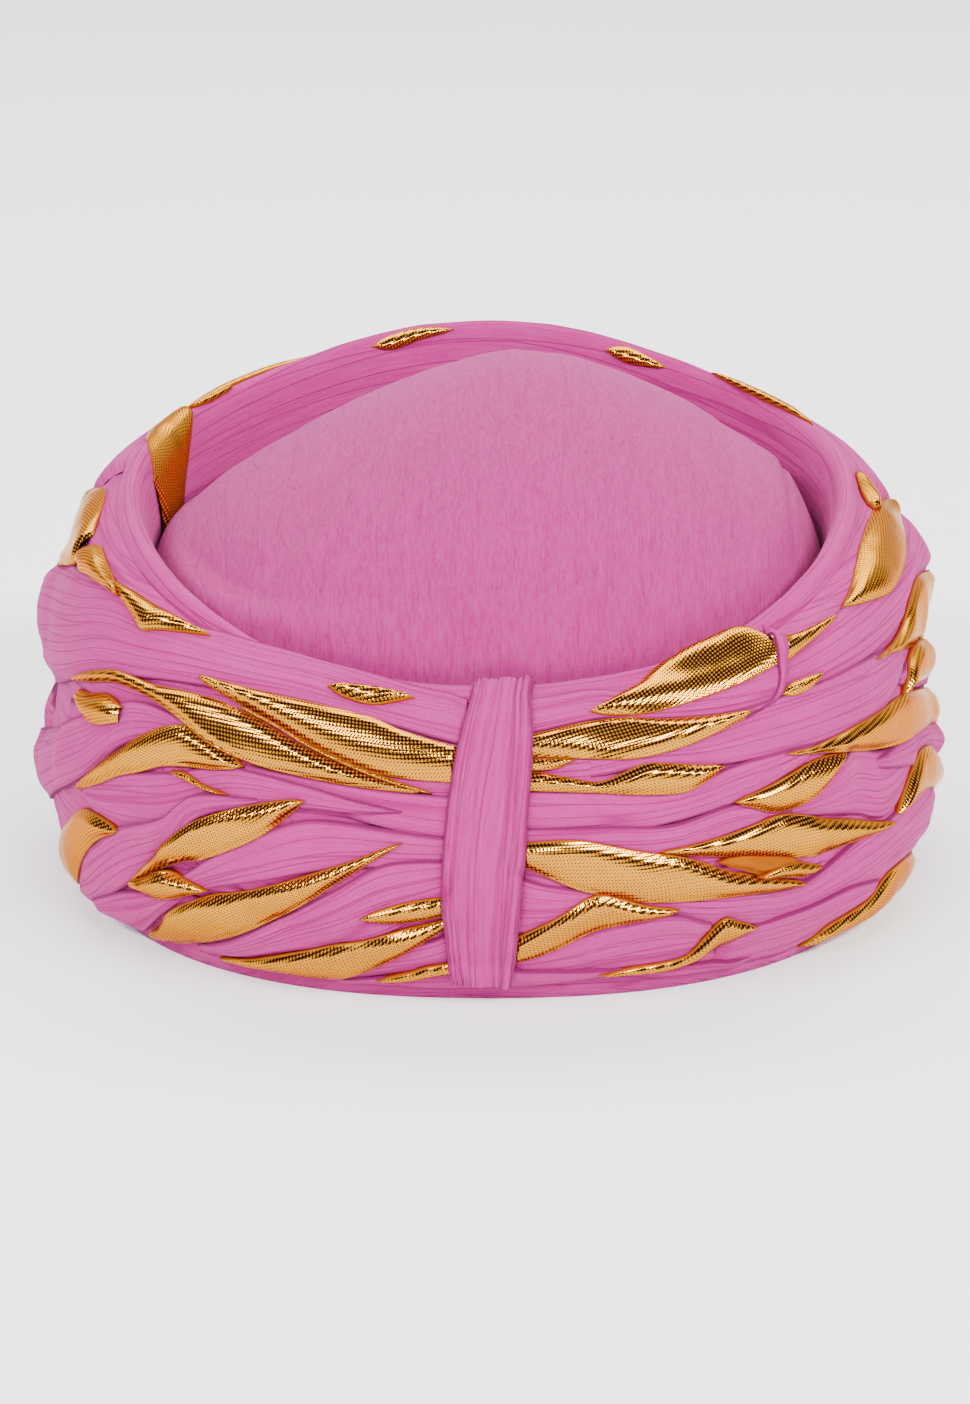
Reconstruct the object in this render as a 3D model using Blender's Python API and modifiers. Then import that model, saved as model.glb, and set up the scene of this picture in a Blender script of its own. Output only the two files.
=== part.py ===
"""A wound turban: a cloth crown inside a padded band that is wrapped in criss-crossed
pink muslin and gold lame strips, with a pleated upright tab over the crossing in front.

Metres, +Z up. The wearer's front is -Y. The origin is on the floor, under the middle.
Angles are degrees from the front, positive towards +X, and +-180 is the back.
A share runs up the band's section: 0 at its foot, 1 on its rim, past 1 down the inside.
"""

import math
from collections import namedtuple

import bmesh
import bpy

# Outline of the band, seen from above, where it is widest
HALF_WIDTH = 0.1185
HALF_FRONT = 0.1236
HALF_BACK = 0.1308
SQUARE_FRONT = 2.3
SQUARE_BACK = 1.95

# Height of the rim round the head: a mean, and the cosines that raise it to the back
RIM_MEAN = 0.1030
RIM_WAVES = (-0.0196, -0.0027, -0.0026, 0.0008)

# Section of the band: how far each bend lies inside the widest outline, and how high
Bend = namedtuple("Bend", "inset share_of_rim")
BAND_SECTION = (
    Bend(0.0086, 0.000),
    Bend(0.0039, 0.150),
    Bend(0.0010, 0.300),
    Bend(0.0000, 0.458),
    Bend(0.0012, 0.675),
    Bend(0.0038, 0.795),
    Bend(0.0076, 0.889),
    Bend(0.0126, 0.956),
    Bend(0.0188, 0.993),
    Bend(0.0242, 1.000),
    Bend(0.0268, 0.982),
    Bend(0.0281, 0.940),
    Bend(0.0286, 0.860),
    Bend(0.0288, 0.720),
    Bend(0.0288, 0.500),
)
RIM_BEND = 9
INNER_INSET = 0.0288
BEND_STEPS = 12

# The strips lie thicker on one side, so all is moved by this to centre it on the origin
CENTRING = (0.0, -0.0021, 0.0)

# Winding: the padded core lies this deep, and the strips are laid on it one by one
WINDING_DEPTH = 0.0048
FREE_FROM_SHARE = 0.95
FREE_TO_SHARE = 1.20
CLOTH = 0.0011
TURN_CELL = 1.0
SHARE_CELL = 0.01
FULL_TURN = 360
SETTLING_PASSES = 6

# Padded core: the shares at which its section bends, then the heights down its inside
CORE_STATIONS = 44
CORE_SHARES = (0.0, 0.16, 0.32, 0.48, 0.64, 0.78, 0.88, 0.95, 1.0, 1.06, 1.13)
CORE_INSIDE = (0.78, 0.50, 0.22, 0.0)
CORE_BASE = (0.0234, 0.0140)

# Crown: a cap whose skirt stands inside the band
CROWN_GAP = 0.0008
CROWN_WALL = 0.0020
CROWN_SHOULDER = 0.0780
CROWN_APEX = 0.1318
CROWN_ROUND = 0.55
CROWN_LEAN = 0.12
CROWN_HEM = 0.0020
CROWN_STATIONS = 28
CROWN_ROWS = 8
SKIRT_ROWS = 2

# How finely each kind of strip is laid out, in degrees and shares, how far it arches, and
# its gap to the cloth below, wider where its longer steps cut across the band's curve
Lay = namedtuple("Lay", "turn_step share_step arch gap")
RIM_LAY = Lay(9.0, 0.035, 0.0002, 0.0009)
PINK_LAY = Lay(7.5, 0.085, 0.0003, 0.0008)
GOLD_LAY = Lay(5.0, 0.085, 0.0012, 0.0005)

# Front tab: its edges up the band, its pleats and how deep they are
TabRow = namedtuple("TabRow", "share left right")
TAB_EDGES = (
    TabRow(0.03, -3.4, 1.9),
    TabRow(0.20, -4.0, 2.3),
    TabRow(0.40, -4.0, 2.8),
    TabRow(0.60, -3.4, 3.4),
    TabRow(0.80, -2.7, 4.0),
    TabRow(1.02, -2.6, 4.8),
)
TAB_PLEATS = 3
TAB_PLEAT_DEPTH = 0.0005
TAB_COLUMNS = 12
TAB_ROWS = 12

PINK = ("pink_muslin", (0.66, 0.16, 0.40, 1.0), 0.85, 0.0)
CROWN_PINK = ("crown_muslin", (0.64, 0.17, 0.38, 1.0), 0.90, 0.0)
GOLD = ("gold_lame", (0.78, 0.50, 0.16, 1.0), 0.32, 1.0)

Section = namedtuple("Section", "angle low high")
Strip = namedtuple("Strip", "name finish lay sections")


def rim(name, finish, *rows):
    return Strip(name, finish, RIM_LAY, [Section(*row) for row in rows])


def pink(name, *rows):
    return Strip(name, PINK, PINK_LAY, [Section(*row) for row in rows])


def gold(name, *rows):
    return Strip(name, GOLD, GOLD_LAY, [Section(*row) for row in rows])


# Each row of a strip is a section: its angle, and the shares of its low and high edges.
# The strips are wound in this order, so a later one lies over those before it.
STRIPS = (
    pink("back_pink_1", (80, 0.52, 0.70), (140, 0.62, 0.84), (200, 0.73, 0.93),
         (264, 0.80, 0.97)),
    pink("back_pink_2", (84, 0.24, 0.44), (150, 0.31, 0.53), (210, 0.37, 0.59),
         (272, 0.44, 0.62)),
    pink("back_pink_3", (86, 0.03, 0.20), (180, 0.10, 0.32), (274, 0.20, 0.38)),
    pink("back_pink_4", (92, 0.80, 0.97), (150, 0.76, 0.96), (210, 0.62, 0.84),
         (276, 0.52, 0.70)),
    pink("back_pink_5", (88, 0.56, 0.72), (150, 0.46, 0.66), (210, 0.30, 0.51),
         (268, 0.20, 0.36)),
    pink("back_pink_6", (90, 0.10, 0.28), (160, 0.04, 0.26), (220, 0.03, 0.22),
         (270, 0.03, 0.18)),
    rim("rim_strip", PINK, (-179.6, 0.98, 1.13), (-90, 0.98, 1.13), (0, 0.98, 1.09),
         (90, 0.98, 1.13), (179.6, 0.98, 1.13)),
    pink("left_pink_1", (-2, 0.775, 0.97), (-13, 0.84, 1.00), (-23, 0.855, 1.02),
         (-39, 0.79, 0.98), (-50, 0.725, 0.93), (-60, 0.655, 0.90), (-70, 0.56, 0.83),
         (-82, 0.47, 0.76), (-101, 0.37, 0.62), (-122, 0.33, 0.50), (-140, 0.35, 0.39)),
    pink("left_pink_2", (-37, 0.67, 0.69), (-45, 0.60, 0.69), (-50, 0.55, 0.665),
         (-60, 0.40, 0.56), (-70, 0.30, 0.46), (-82, 0.19, 0.36), (-101, 0.05, 0.22),
         (-116, 0.03, 0.08)),
    pink("left_pink_3", (-2, 0.49, 0.625), (-12, 0.535, 0.635), (-20, 0.575, 0.64),
         (-30, 0.59, 0.635)),
    pink("left_pink_4", (-12, 0.56, 0.60), (-20, 0.55, 0.62), (-30, 0.50, 0.62),
         (-40, 0.38, 0.55), (-50, 0.33, 0.48), (-60, 0.34, 0.385)),
    pink("left_pink_5", (-26, 0.54, 0.56), (-35, 0.455, 0.525), (-40, 0.31, 0.44),
         (-50, 0.19, 0.345), (-60, 0.07, 0.215), (-68, 0.025, 0.11)),
    pink("left_pink_6", (-2, 0.43, 0.51), (-14, 0.41, 0.53), (-20, 0.375, 0.52),
         (-26, 0.33, 0.46), (-32, 0.28, 0.38), (-38, 0.22, 0.29), (-45, 0.12, 0.20),
         (-52, 0.03, 0.16), (-62, 0.025, 0.08)),
    pink("left_pink_7", (-2, 0.345, 0.45), (-10, 0.22, 0.43), (-16, 0.165, 0.34),
         (-24, 0.115, 0.22), (-32, 0.06, 0.12), (-40, 0.025, 0.05)),
    pink("left_pink_8", (-2, 0.12, 0.24), (-10, 0.07, 0.15), (-18, 0.03, 0.06)),
    pink("right_pink_1", (1.5, 0.80, 0.95), (12, 0.845, 0.97), (20, 0.81, 0.93),
         (30, 0.77, 0.90), (40, 0.75, 0.88), (58, 0.72, 0.87), (76, 0.70, 0.83),
         (101, 0.62, 0.76), (125, 0.60, 0.70), (142, 0.63, 0.66)),
    pink("right_pink_2", (10, 0.67, 0.73), (17, 0.68, 0.75), (25, 0.65, 0.76),
         (33, 0.63, 0.77), (45, 0.60, 0.75), (59, 0.57, 0.715), (69, 0.62, 0.67)),
    pink("right_pink_3", (1.5, 0.49, 0.645), (10, 0.495, 0.63), (20, 0.515, 0.60),
         (28, 0.53, 0.635), (37, 0.565, 0.63), (43, 0.59, 0.61)),
    pink("right_pink_4", (1.5, 0.43, 0.54), (12, 0.43, 0.53), (20, 0.43, 0.51),
         (28, 0.45, 0.53), (34, 0.46, 0.49)),
    pink("right_pink_5", (38, 0.44, 0.47), (44, 0.41, 0.51), (50, 0.375, 0.535),
         (57, 0.325, 0.485), (64, 0.35, 0.45), (69, 0.39, 0.41)),
    pink("right_pink_6", (14, 0.28, 0.33), (22, 0.21, 0.30), (30, 0.17, 0.27),
         (40, 0.135, 0.24), (50, 0.13, 0.30), (60, 0.17, 0.31), (70, 0.15, 0.32),
         (80, 0.10, 0.28), (95, 0.03, 0.14), (104, 0.03, 0.06)),
    pink("right_pink_7", (1.5, 0.21, 0.40), (8, 0.26, 0.36), (13, 0.31, 0.335)),
    pink("right_pink_8", (1.5, 0.06, 0.14), (8, 0.06, 0.20), (13, 0.08, 0.24),
         (20, 0.085, 0.26), (26, 0.11, 0.20)),
    pink("right_pink_9", (28, 0.03, 0.14), (34, 0.03, 0.16), (42, 0.03, 0.17),
         (50, 0.09, 0.19), (58, 0.12, 0.165)),
    pink("right_pink_10", (56, 0.45, 0.475), (66, 0.39, 0.455), (76, 0.34, 0.42),
         (88, 0.24, 0.35), (101, 0.14, 0.26), (118, 0.11, 0.15)),
    pink("right_pink_11", (66, 0.58, 0.61), (75, 0.51, 0.60), (85, 0.44, 0.55),
         (101, 0.33, 0.46), (120, 0.27, 0.38), (138, 0.28, 0.32)),
    pink("hem_strip", (-24, 0.02, 0.04), (-12, 0.02, 0.055), (-4, 0.02, 0.10),
         (4, 0.03, 0.10), (12, 0.05, 0.09), (20, 0.03, 0.07), (34, 0.02, 0.05)),
    gold("left_gold_1", (-4.8, 0.675, 0.78), (-9, 0.695, 0.81), (-13, 0.712, 0.845),
         (-20, 0.74, 0.86), (-28, 0.785, 0.85), (-38, 0.81, 0.825)),
    gold("left_gold_2", (-6, 0.63, 0.645), (-13, 0.635, 0.675), (-20, 0.64, 0.712),
         (-28, 0.645, 0.765), (-36, 0.675, 0.772), (-44, 0.69, 0.745),
         (-54, 0.66, 0.705), (-66, 0.59, 0.61)),
    gold("left_gold_3", (-30, 0.62, 0.635), (-35, 0.575, 0.66), (-39, 0.55, 0.66),
         (-46, 0.505, 0.595), (-54, 0.435, 0.49), (-61, 0.36, 0.375)),
    gold("left_gold_4", (-51, 0.60, 0.64), (-56, 0.56, 0.635), (-61, 0.545, 0.60),
         (-66, 0.56, 0.575)),
    gold("left_gold_5", (-20, 0.565, 0.58), (-26, 0.455, 0.545), (-31, 0.40, 0.505),
         (-37, 0.33, 0.415), (-43, 0.265, 0.285)),
    gold("left_gold_6", (-9, 0.475, 0.49), (-15, 0.375, 0.415), (-22, 0.265, 0.355),
         (-30, 0.155, 0.30), (-38, 0.065, 0.205), (-45, 0.025, 0.12),
         (-51, 0.02, 0.035)),
    gold("left_gold_7", (-5.5, 0.225, 0.255), (-11, 0.115, 0.195), (-18, 0.04, 0.15),
         (-26, 0.035, 0.095), (-36, 0.035, 0.05)),
    gold("left_gold_8", (-50, 0.33, 0.342), (-56, 0.27, 0.34), (-61, 0.19, 0.315),
         (-66, 0.10, 0.25), (-72, 0.04, 0.18), (-80, 0.02, 0.10), (-88, 0.02, 0.035)),
    gold("left_gold_9", (-42, 0.93, 0.945), (-50, 0.87, 0.94), (-56, 0.855, 0.92),
         (-63, 0.86, 0.875)),
    gold("left_gold_10", (-64.5, 0.865, 0.88), (-70, 0.83, 0.88), (-77.5, 0.80, 0.87)),
    gold("left_gold_11", (-79.5, 0.78, 0.87), (-85, 0.73, 0.91), (-91, 0.69, 0.91),
         (-98, 0.72, 0.84)),
    rim("left_gold_12", GOLD, (-116, 0.985, 1.05), (-111, 0.975, 1.14),
        (-105, 0.99, 1.15), (-100, 1.02, 1.11)),
    gold("right_gold_1", (11.5, 0.87, 0.895), (15, 0.855, 0.93), (20, 0.84, 0.965),
         (27, 0.83, 1.02), (33, 0.835, 0.99), (39, 0.85, 0.93)),
    gold("right_gold_2", (41, 0.845, 0.925), (46, 0.855, 0.90), (54, 0.86, 0.875)),
    gold("right_gold_3", (5.4, 0.735, 0.81), (10, 0.72, 0.835), (17, 0.712, 0.835),
         (24, 0.725, 0.795), (32, 0.75, 0.765)),
    gold("right_gold_4", (4.8, 0.65, 0.71), (10, 0.63, 0.675), (16, 0.605, 0.69),
         (21, 0.595, 0.68), (27, 0.635, 0.65)),
    gold("right_gold_5", (28.5, 0.53, 0.545), (34, 0.485, 0.553), (40, 0.475, 0.565),
         (46, 0.53, 0.555)),
    gold("right_gold_6", (19, 0.435, 0.45), (26, 0.405, 0.455), (36, 0.345, 0.46),
         (44, 0.32, 0.41), (52, 0.31, 0.36), (59, 0.295, 0.31)),
    gold("right_gold_7", (4.6, 0.40, 0.50), (10, 0.34, 0.49), (16, 0.31, 0.43),
         (24, 0.285, 0.375), (32, 0.255, 0.31), (40, 0.23, 0.245)),
    gold("right_gold_8", (4.2, 0.13, 0.215), (7, 0.18, 0.27), (11, 0.225, 0.32),
         (16, 0.255, 0.295), (20.5, 0.262, 0.277)),
    gold("right_gold_9", (13, 0.06, 0.075), (20, 0.055, 0.085), (25, 0.08, 0.16),
         (29, 0.125, 0.19), (32, 0.15, 0.165)),
    gold("right_gold_10", (46, 0.025, 0.04), (50, 0.025, 0.095), (57, 0.03, 0.13),
         (64, 0.06, 0.165), (72, 0.03, 0.135), (84, 0.02, 0.04)),
    gold("right_gold_11", (37, 0.61, 0.625), (45, 0.575, 0.605), (55, 0.50, 0.585),
         (65, 0.455, 0.56), (75, 0.42, 0.495), (85, 0.36, 0.43), (98, 0.28, 0.31)),
    gold("right_gold_12", (59.5, 0.70, 0.715), (66, 0.66, 0.705), (72, 0.62, 0.71),
         (80, 0.60, 0.72), (90, 0.56, 0.66), (99, 0.52, 0.57)),
    gold("right_gold_13", (60.5, 0.30, 0.315), (66, 0.30, 0.37), (72, 0.29, 0.385),
         (80, 0.24, 0.33), (90, 0.16, 0.19)),
    gold("right_gold_14", (57, 0.87, 0.885), (62, 0.845, 0.91), (68, 0.81, 0.93),
         (75, 0.805, 0.935), (84, 0.80, 0.915), (95, 0.83, 0.87)),
    gold("back_gold_1", (122, 0.59, 0.605), (150, 0.56, 0.64), (180, 0.57, 0.645),
         (206, 0.60, 0.615)),
    gold("back_gold_2", (158, 0.385, 0.40), (190, 0.36, 0.44), (215, 0.37, 0.45),
         (240, 0.405, 0.42)),
    gold("back_gold_3", (124, 0.20, 0.215), (150, 0.17, 0.25), (180, 0.19, 0.24),
         (200, 0.21, 0.225)),
    gold("back_gold_4", (196, 0.775, 0.79), (220, 0.75, 0.82), (242, 0.775, 0.79)),
)


def clear_scene():
    for old in list(bpy.data.objects):
        bpy.data.objects.remove(old, do_unlink=True)


def smooth_step(value, start, end):
    """0 before start, 1 past end, and an even curve between them."""
    t = min(max((value - start) / (end - start), 0.0), 1.0)
    return t * t * (3.0 - 2.0 * t)


def smooth_curve(points, steps):
    """Points on a Catmull-Rom curve through 2-D points, steps to each stretch."""
    before = [2.0 * a - b for a, b in zip(points[0], points[1])]
    after = [2.0 * a - b for a, b in zip(points[-1], points[-2])]
    knots = [before, *points, after]
    curve = []
    for k in range(1, len(knots) - 2):
        for step in range(steps):
            curve.append(catmull(knots[k - 1:k + 3], step / steps))
    curve.append(tuple(points[-1]))
    return curve


def catmull(knots, t):
    return tuple(
        0.5 * (2 * b + (c - a) * t + (2 * a - 5 * b + 4 * c - d) * t * t
               + (3 * b - a - 3 * c + d) * t ** 3)
        for a, b, c, d in zip(*knots))


SECTION_CURVE = smooth_curve([(bend.inset, bend.share_of_rim) for bend in BAND_SECTION],
                             BEND_STEPS)


def smooth_rows(rows, column, value):
    """A column of a table of rows, read smoothly at a value of the rows' first column."""
    knots = sorted(rows)
    value = min(max(value, knots[0][0]), knots[-1][0])
    k = 0
    while k < len(knots) - 2 and value > knots[k + 1][0]:
        k += 1
    slope = [secant(knots, column, j) for j in (k, k + 1)]
    span = knots[k + 1][0] - knots[k][0]
    t = (value - knots[k][0]) / span
    start, end = knots[k][column], knots[k + 1][column]
    return ((2 * t ** 3 - 3 * t ** 2 + 1) * start + (t ** 3 - 2 * t ** 2 + t) * span * slope[0]
            + (3 * t ** 2 - 2 * t ** 3) * end + (t ** 3 - t ** 2) * span * slope[1])


def secant(knots, column, k):
    """Slope of a column at a row, taken between the rows on either side of it."""
    first, last = max(k - 1, 0), min(k + 1, len(knots) - 1)
    return (knots[last][column] - knots[first][column]) / (knots[last][0] - knots[first][0])


def rim_height(angle):
    turn = math.radians(angle)
    return RIM_MEAN + sum(wave * math.cos((k + 1) * turn) for k, wave in enumerate(RIM_WAVES))


def plan_point(angle, inset):
    """A point on the band's outline from above, moved inwards by the inset."""
    turn = math.radians(angle)
    across, along = math.sin(turn), math.cos(turn)
    square = SQUARE_FRONT if along > 0 else SQUARE_BACK
    reach = HALF_FRONT if along > 0 else HALF_BACK
    x = (HALF_WIDTH - inset) * math.copysign(abs(across) ** (2 / square), across)
    y = (inset - reach) * math.copysign(abs(along) ** (2 / square), along)
    return x, y


def section_lengths(rim):
    """Lengths along the section's curve, as shares of its length up to the rim."""
    lengths = [0.0]
    for (inset0, share0), (inset1, share1) in zip(SECTION_CURVE, SECTION_CURVE[1:]):
        lengths.append(lengths[-1] + math.hypot(inset1 - inset0, (share1 - share0) * rim))
    whole = lengths[RIM_BEND * BEND_STEPS]
    return [length / whole for length in lengths]


def section_point(rim, share):
    """Inset and height of the band's section at a share, and its outward normal there."""
    lengths = section_lengths(rim)
    k = 0
    while k < len(lengths) - 2 and lengths[k + 1] < share:
        k += 1
    (inset0, share0), (inset1, share1) = SECTION_CURVE[k], SECTION_CURVE[k + 1]
    t = (share - lengths[k]) / (lengths[k + 1] - lengths[k])
    inset = inset0 + t * (inset1 - inset0)
    height = (share0 + t * (share1 - share0)) * rim
    rise, inwards = (share1 - share0) * rim, inset1 - inset0
    length = math.hypot(rise, inwards)
    return inset, height, rise / length, inwards / length


def band_point(angle, share, lift):
    """A point on the band, lifted off its padded core's surface by the cloth below it."""
    rim = rim_height(angle)
    inset, height, out, up = section_point(rim, share)
    depth = WINDING_DEPTH * (1.0 - smooth_step(share, FREE_FROM_SHARE, FREE_TO_SHARE))
    x, y = plan_point(angle, inset - (lift - depth) * out)
    return x, y, height + (lift - depth) * up


def make_material(finish):
    name, colour, roughness, metallic = finish
    material = bpy.data.materials.get(name) or bpy.data.materials.new(name)
    material.use_nodes = True
    shader = material.node_tree.nodes["Principled BSDF"]
    shader.inputs["Base Color"].default_value = colour
    shader.inputs["Roughness"].default_value = roughness
    shader.inputs["Metallic"].default_value = metallic
    material.diffuse_color = colour
    return material


def add_piece(name, mesh_builder, finish, collection, wall=None):
    """An object from a bmesh, shaded smooth, with a cloth wall where it is a sheet."""
    mesh = bpy.data.meshes.new(name)
    bmesh.ops.translate(mesh_builder, verts=mesh_builder.verts, vec=CENTRING)
    mesh_builder.to_mesh(mesh)
    mesh_builder.free()
    mesh.shade_smooth()
    piece = bpy.data.objects.new(name, mesh)
    piece.data.materials.append(make_material(finish))
    collection.objects.link(piece)
    if wall:
        solid = piece.modifiers.new("cloth_wall", "SOLIDIFY")
        solid.thickness = wall
        solid.offset = -1.0
    return piece


def make_core(collection):
    """The padded ring that the strips are wound on: a torus drawn out to its section."""
    rows = len(CORE_SHARES) + len(CORE_INSIDE) + len(CORE_BASE)
    bpy.ops.mesh.primitive_torus_add(major_segments=CORE_STATIONS, minor_segments=rows,
                                     major_radius=HALF_WIDTH, minor_radius=INNER_INSET)
    torus = bpy.context.object
    builder = bmesh.new()
    builder.from_mesh(torus.data)
    bpy.data.objects.remove(torus, do_unlink=True)
    for vertex in builder.verts:
        x, y, z = vertex.co
        angle = math.degrees(math.atan2(x, -y))
        tilt = math.atan2(z, math.hypot(x, y) - HALF_WIDTH)
        vertex.co = core_point(angle, round(tilt * rows / math.tau) % rows)
    return add_piece("padded_core", builder, PINK, collection)


def core_point(angle, row):
    """A corner of the core's section: up its outside, down its inside, under its foot."""
    if row < len(CORE_SHARES):
        return band_point(angle, CORE_SHARES[row], 0.0)
    row -= len(CORE_SHARES)
    if row < len(CORE_INSIDE):
        shoulder = min(CROWN_SHOULDER, 0.9 * rim_height(angle))
        return (*plan_point(angle, INNER_INSET), CORE_INSIDE[row] * shoulder)
    return (*plan_point(angle, CORE_BASE[row - len(CORE_INSIDE)]), 0.0)


def make_crown(collection):
    """The cap: a sphere drawn out to a leaning dome, whose lower rows are its skirt."""
    rows = 2 * CROWN_ROWS
    builder = bmesh.new()
    bmesh.ops.create_uvsphere(builder, u_segments=CROWN_STATIONS, v_segments=rows, radius=1.0)
    lowest = -math.sin((SKIRT_ROWS + 0.5) * math.pi / rows)
    below = [vertex for vertex in builder.verts if vertex.co.z < lowest]
    bmesh.ops.delete(builder, geom=below, context="VERTS")
    for vertex in builder.verts:
        vertex.co = crown_point(vertex.co, rows)
    return add_piece("crown", builder, CROWN_PINK, collection, CROWN_WALL)


def crown_point(direction, rows):
    """Where a point of the unit sphere comes to lie on the crown."""
    x, y, z = direction
    angle = math.degrees(math.atan2(x, -y))
    reach = min(math.hypot(x, y), 1.0)
    skirt = max(-math.asin(z) / (SKIRT_ROWS * math.pi / rows), 0.0)
    out_x, out_y = plan_point(angle, INNER_INSET + CROWN_GAP)
    if skirt > 0.0:
        return out_x, out_y, CROWN_SHOULDER + skirt * (CROWN_HEM - CROWN_SHOULDER)
    lean = 1.0 + CROWN_LEAN * reach * out_x / HALF_WIDTH
    rise = (CROWN_APEX - CROWN_SHOULDER) * lean * (1.0 - reach ** 2) ** CROWN_ROUND
    return reach * out_x, reach * out_y, CROWN_SHOULDER + rise


class Winding:
    """How high the cloth that is already wound lies over the padded core."""

    def __init__(self):
        self.tops = {}

    def ground(self, angle, share):
        """The highest cloth in the cells about a point."""
        turn, row = round(angle / TURN_CELL), round(share / SHARE_CELL)
        return max(self.tops.get(((turn + i) % FULL_TURN, row + j), 0.0)
                   for i in (-1, 0, 1) for j in (-1, 0, 1))

    def cover(self, angle, share, top):
        key = round(angle / TURN_CELL) % FULL_TURN, round(share / SHARE_CELL)
        self.tops[key] = max(self.tops.get(key, 0.0), top)


def spaced(start, end, step):
    """Values from start to end, no more than a step apart."""
    count = max(1, math.ceil((end - start) / step))
    return [start + k * (end - start) / count for k in range(count + 1)]


def corners(heights, u, v):
    """The triangle of a grid that holds a point, as (row, column, weight) at its corners."""
    rows, columns = len(heights) - 1, len(heights[0]) - 1
    i, j = min(int(u * rows), rows - 1), min(int(v * columns), columns - 1)
    s, t = u * rows - i, v * columns - j
    if s > t:
        return (i, j, 1 - s), (i + 1, j, s - t), (i + 1, j + 1, t)
    return (i, j, 1 - t), (i, j + 1, t - s), (i + 1, j + 1, s)


def between(heights, u, v):
    """Height at shares u and v of the way over a grid of heights."""
    return sum(weight * heights[i][j] for i, j, weight in corners(heights, u, v))


def settle(heights, needs):
    """Bend a grid of heights to clear each need, a (u, v, height), and let it down to rest."""
    for _ in range(SETTLING_PASSES):
        for u, v, need in needs:
            short = need - between(heights, u, v)
            if short > 0.0:
                held = corners(heights, u, v)
                whole = sum(weight ** 2 for _, _, weight in held)
                for i, j, weight in held:
                    heights[i][j] += short * weight / whole
    spare = min(between(heights, u, v) - need for u, v, need in needs)
    for row in heights:
        row[:] = [height - spare for height in row]


def lay_down(rows, columns, place, arch, gap, winding, u_apart, v_apart):
    """Heights of a grid of cloth laid over what is wound, which it then covers."""
    def clear(u, v):
        angle, share, _ = place(u, v)
        return winding.ground(angle, share) + gap + CLOTH

    heights = [[clear(i / rows, j / columns) + arch(j / columns, place(i / rows, j / columns)[2])
                for j in range(columns + 1)] for i in range(rows + 1)]
    samples = [(u, v) for u in spaced(0.0, 1.0, u_apart)
               for v in spaced(0.0, 1.0, v_apart)]
    settle(heights, [(u, v, clear(u, v)) for u, v in samples])
    for u, v in samples:
        angle, share, _ = place(u, v)
        winding.cover(angle, share, between(heights, u, v))
    return heights


def make_strip(strip, winding, collection):
    """A wound strip: a grid laid along its sections over the cloth that is there."""
    angles = [section.angle for section in strip.sections]
    start, end = min(angles), max(angles)
    widest = max(section.high - section.low for section in strip.sections)
    rows = max(3, math.ceil((end - start) / strip.lay.turn_step))
    columns = max(2, math.ceil(widest / strip.lay.share_step))

    def place(u, v):
        angle = start + u * (end - start)
        low = smooth_rows(strip.sections, 1, angle)
        high = smooth_rows(strip.sections, 2, angle)
        return angle, low + v * (high - low), high - low

    def arch(v, width):
        return strip.lay.arch * 4.0 * v * (1.0 - v) * min(1.0, width / GOLD_LAY.share_step)

    heights = lay_down(rows, columns, place, arch, strip.lay.gap, winding,
                       0.5 * TURN_CELL / (end - start), 0.5 * SHARE_CELL / widest)
    return add_cloth(strip.name, strip.finish, heights, place, collection)


def add_cloth(name, finish, heights, place, collection):
    """A sheet of cloth from a grid of heights over the band."""
    builder = bmesh.new()
    bmesh.ops.create_grid(builder, x_segments=len(heights) - 1, y_segments=len(heights[0]) - 1,
                          size=1.0)
    bmesh.ops.triangulate(builder, faces=builder.faces, quad_method="FIXED")
    for vertex in builder.verts:
        u, v = (vertex.co.x + 1.0) / 2.0, (vertex.co.y + 1.0) / 2.0
        angle, share, _ = place(u, v)
        vertex.co = band_point(angle, share, between(heights, u, v))
    return add_piece(name, builder, finish, collection, CLOTH)


def make_tab(winding, collection):
    """The upright pleated tab that hides where the strips cross in front."""
    foot, head = TAB_EDGES[0].share, TAB_EDGES[-1].share

    def place(u, v):
        share = foot + v * (head - foot)
        left = smooth_rows(TAB_EDGES, 1, share)
        right = smooth_rows(TAB_EDGES, 2, share)
        return left + u * (right - left), share, u

    def pleat(_, u):
        return TAB_PLEAT_DEPTH * (1.0 - math.cos(math.tau * TAB_PLEATS * u))

    heights = lay_down(TAB_COLUMNS, TAB_ROWS, place, pleat, PINK_LAY.gap, winding,
                       0.5 / TAB_COLUMNS, 0.5 * SHARE_CELL / (head - foot))
    return add_cloth("front_tab", PINK, heights, place, collection)


def main():
    clear_scene()
    collection = bpy.data.collections.new("turban")
    bpy.context.scene.collection.children.link(collection)
    make_core(collection)
    make_crown(collection)
    winding = Winding()
    for strip in STRIPS:
        make_strip(strip, winding, collection)
    make_tab(winding, collection)


main()
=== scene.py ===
"""Looks for the wound turban: pleated muslin strips and crowned gold lame leaves, draped
one over another round the padded band, with a crinkled crown inside the rolled rim.

Metres, +Z up, front towards -Y. Angles are degrees from the front, positive towards +X.
A share runs up the band's section: 0 at its foot, 1 on its rim, past 1 down the inside.
"""

import math
from collections import namedtuple

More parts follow.
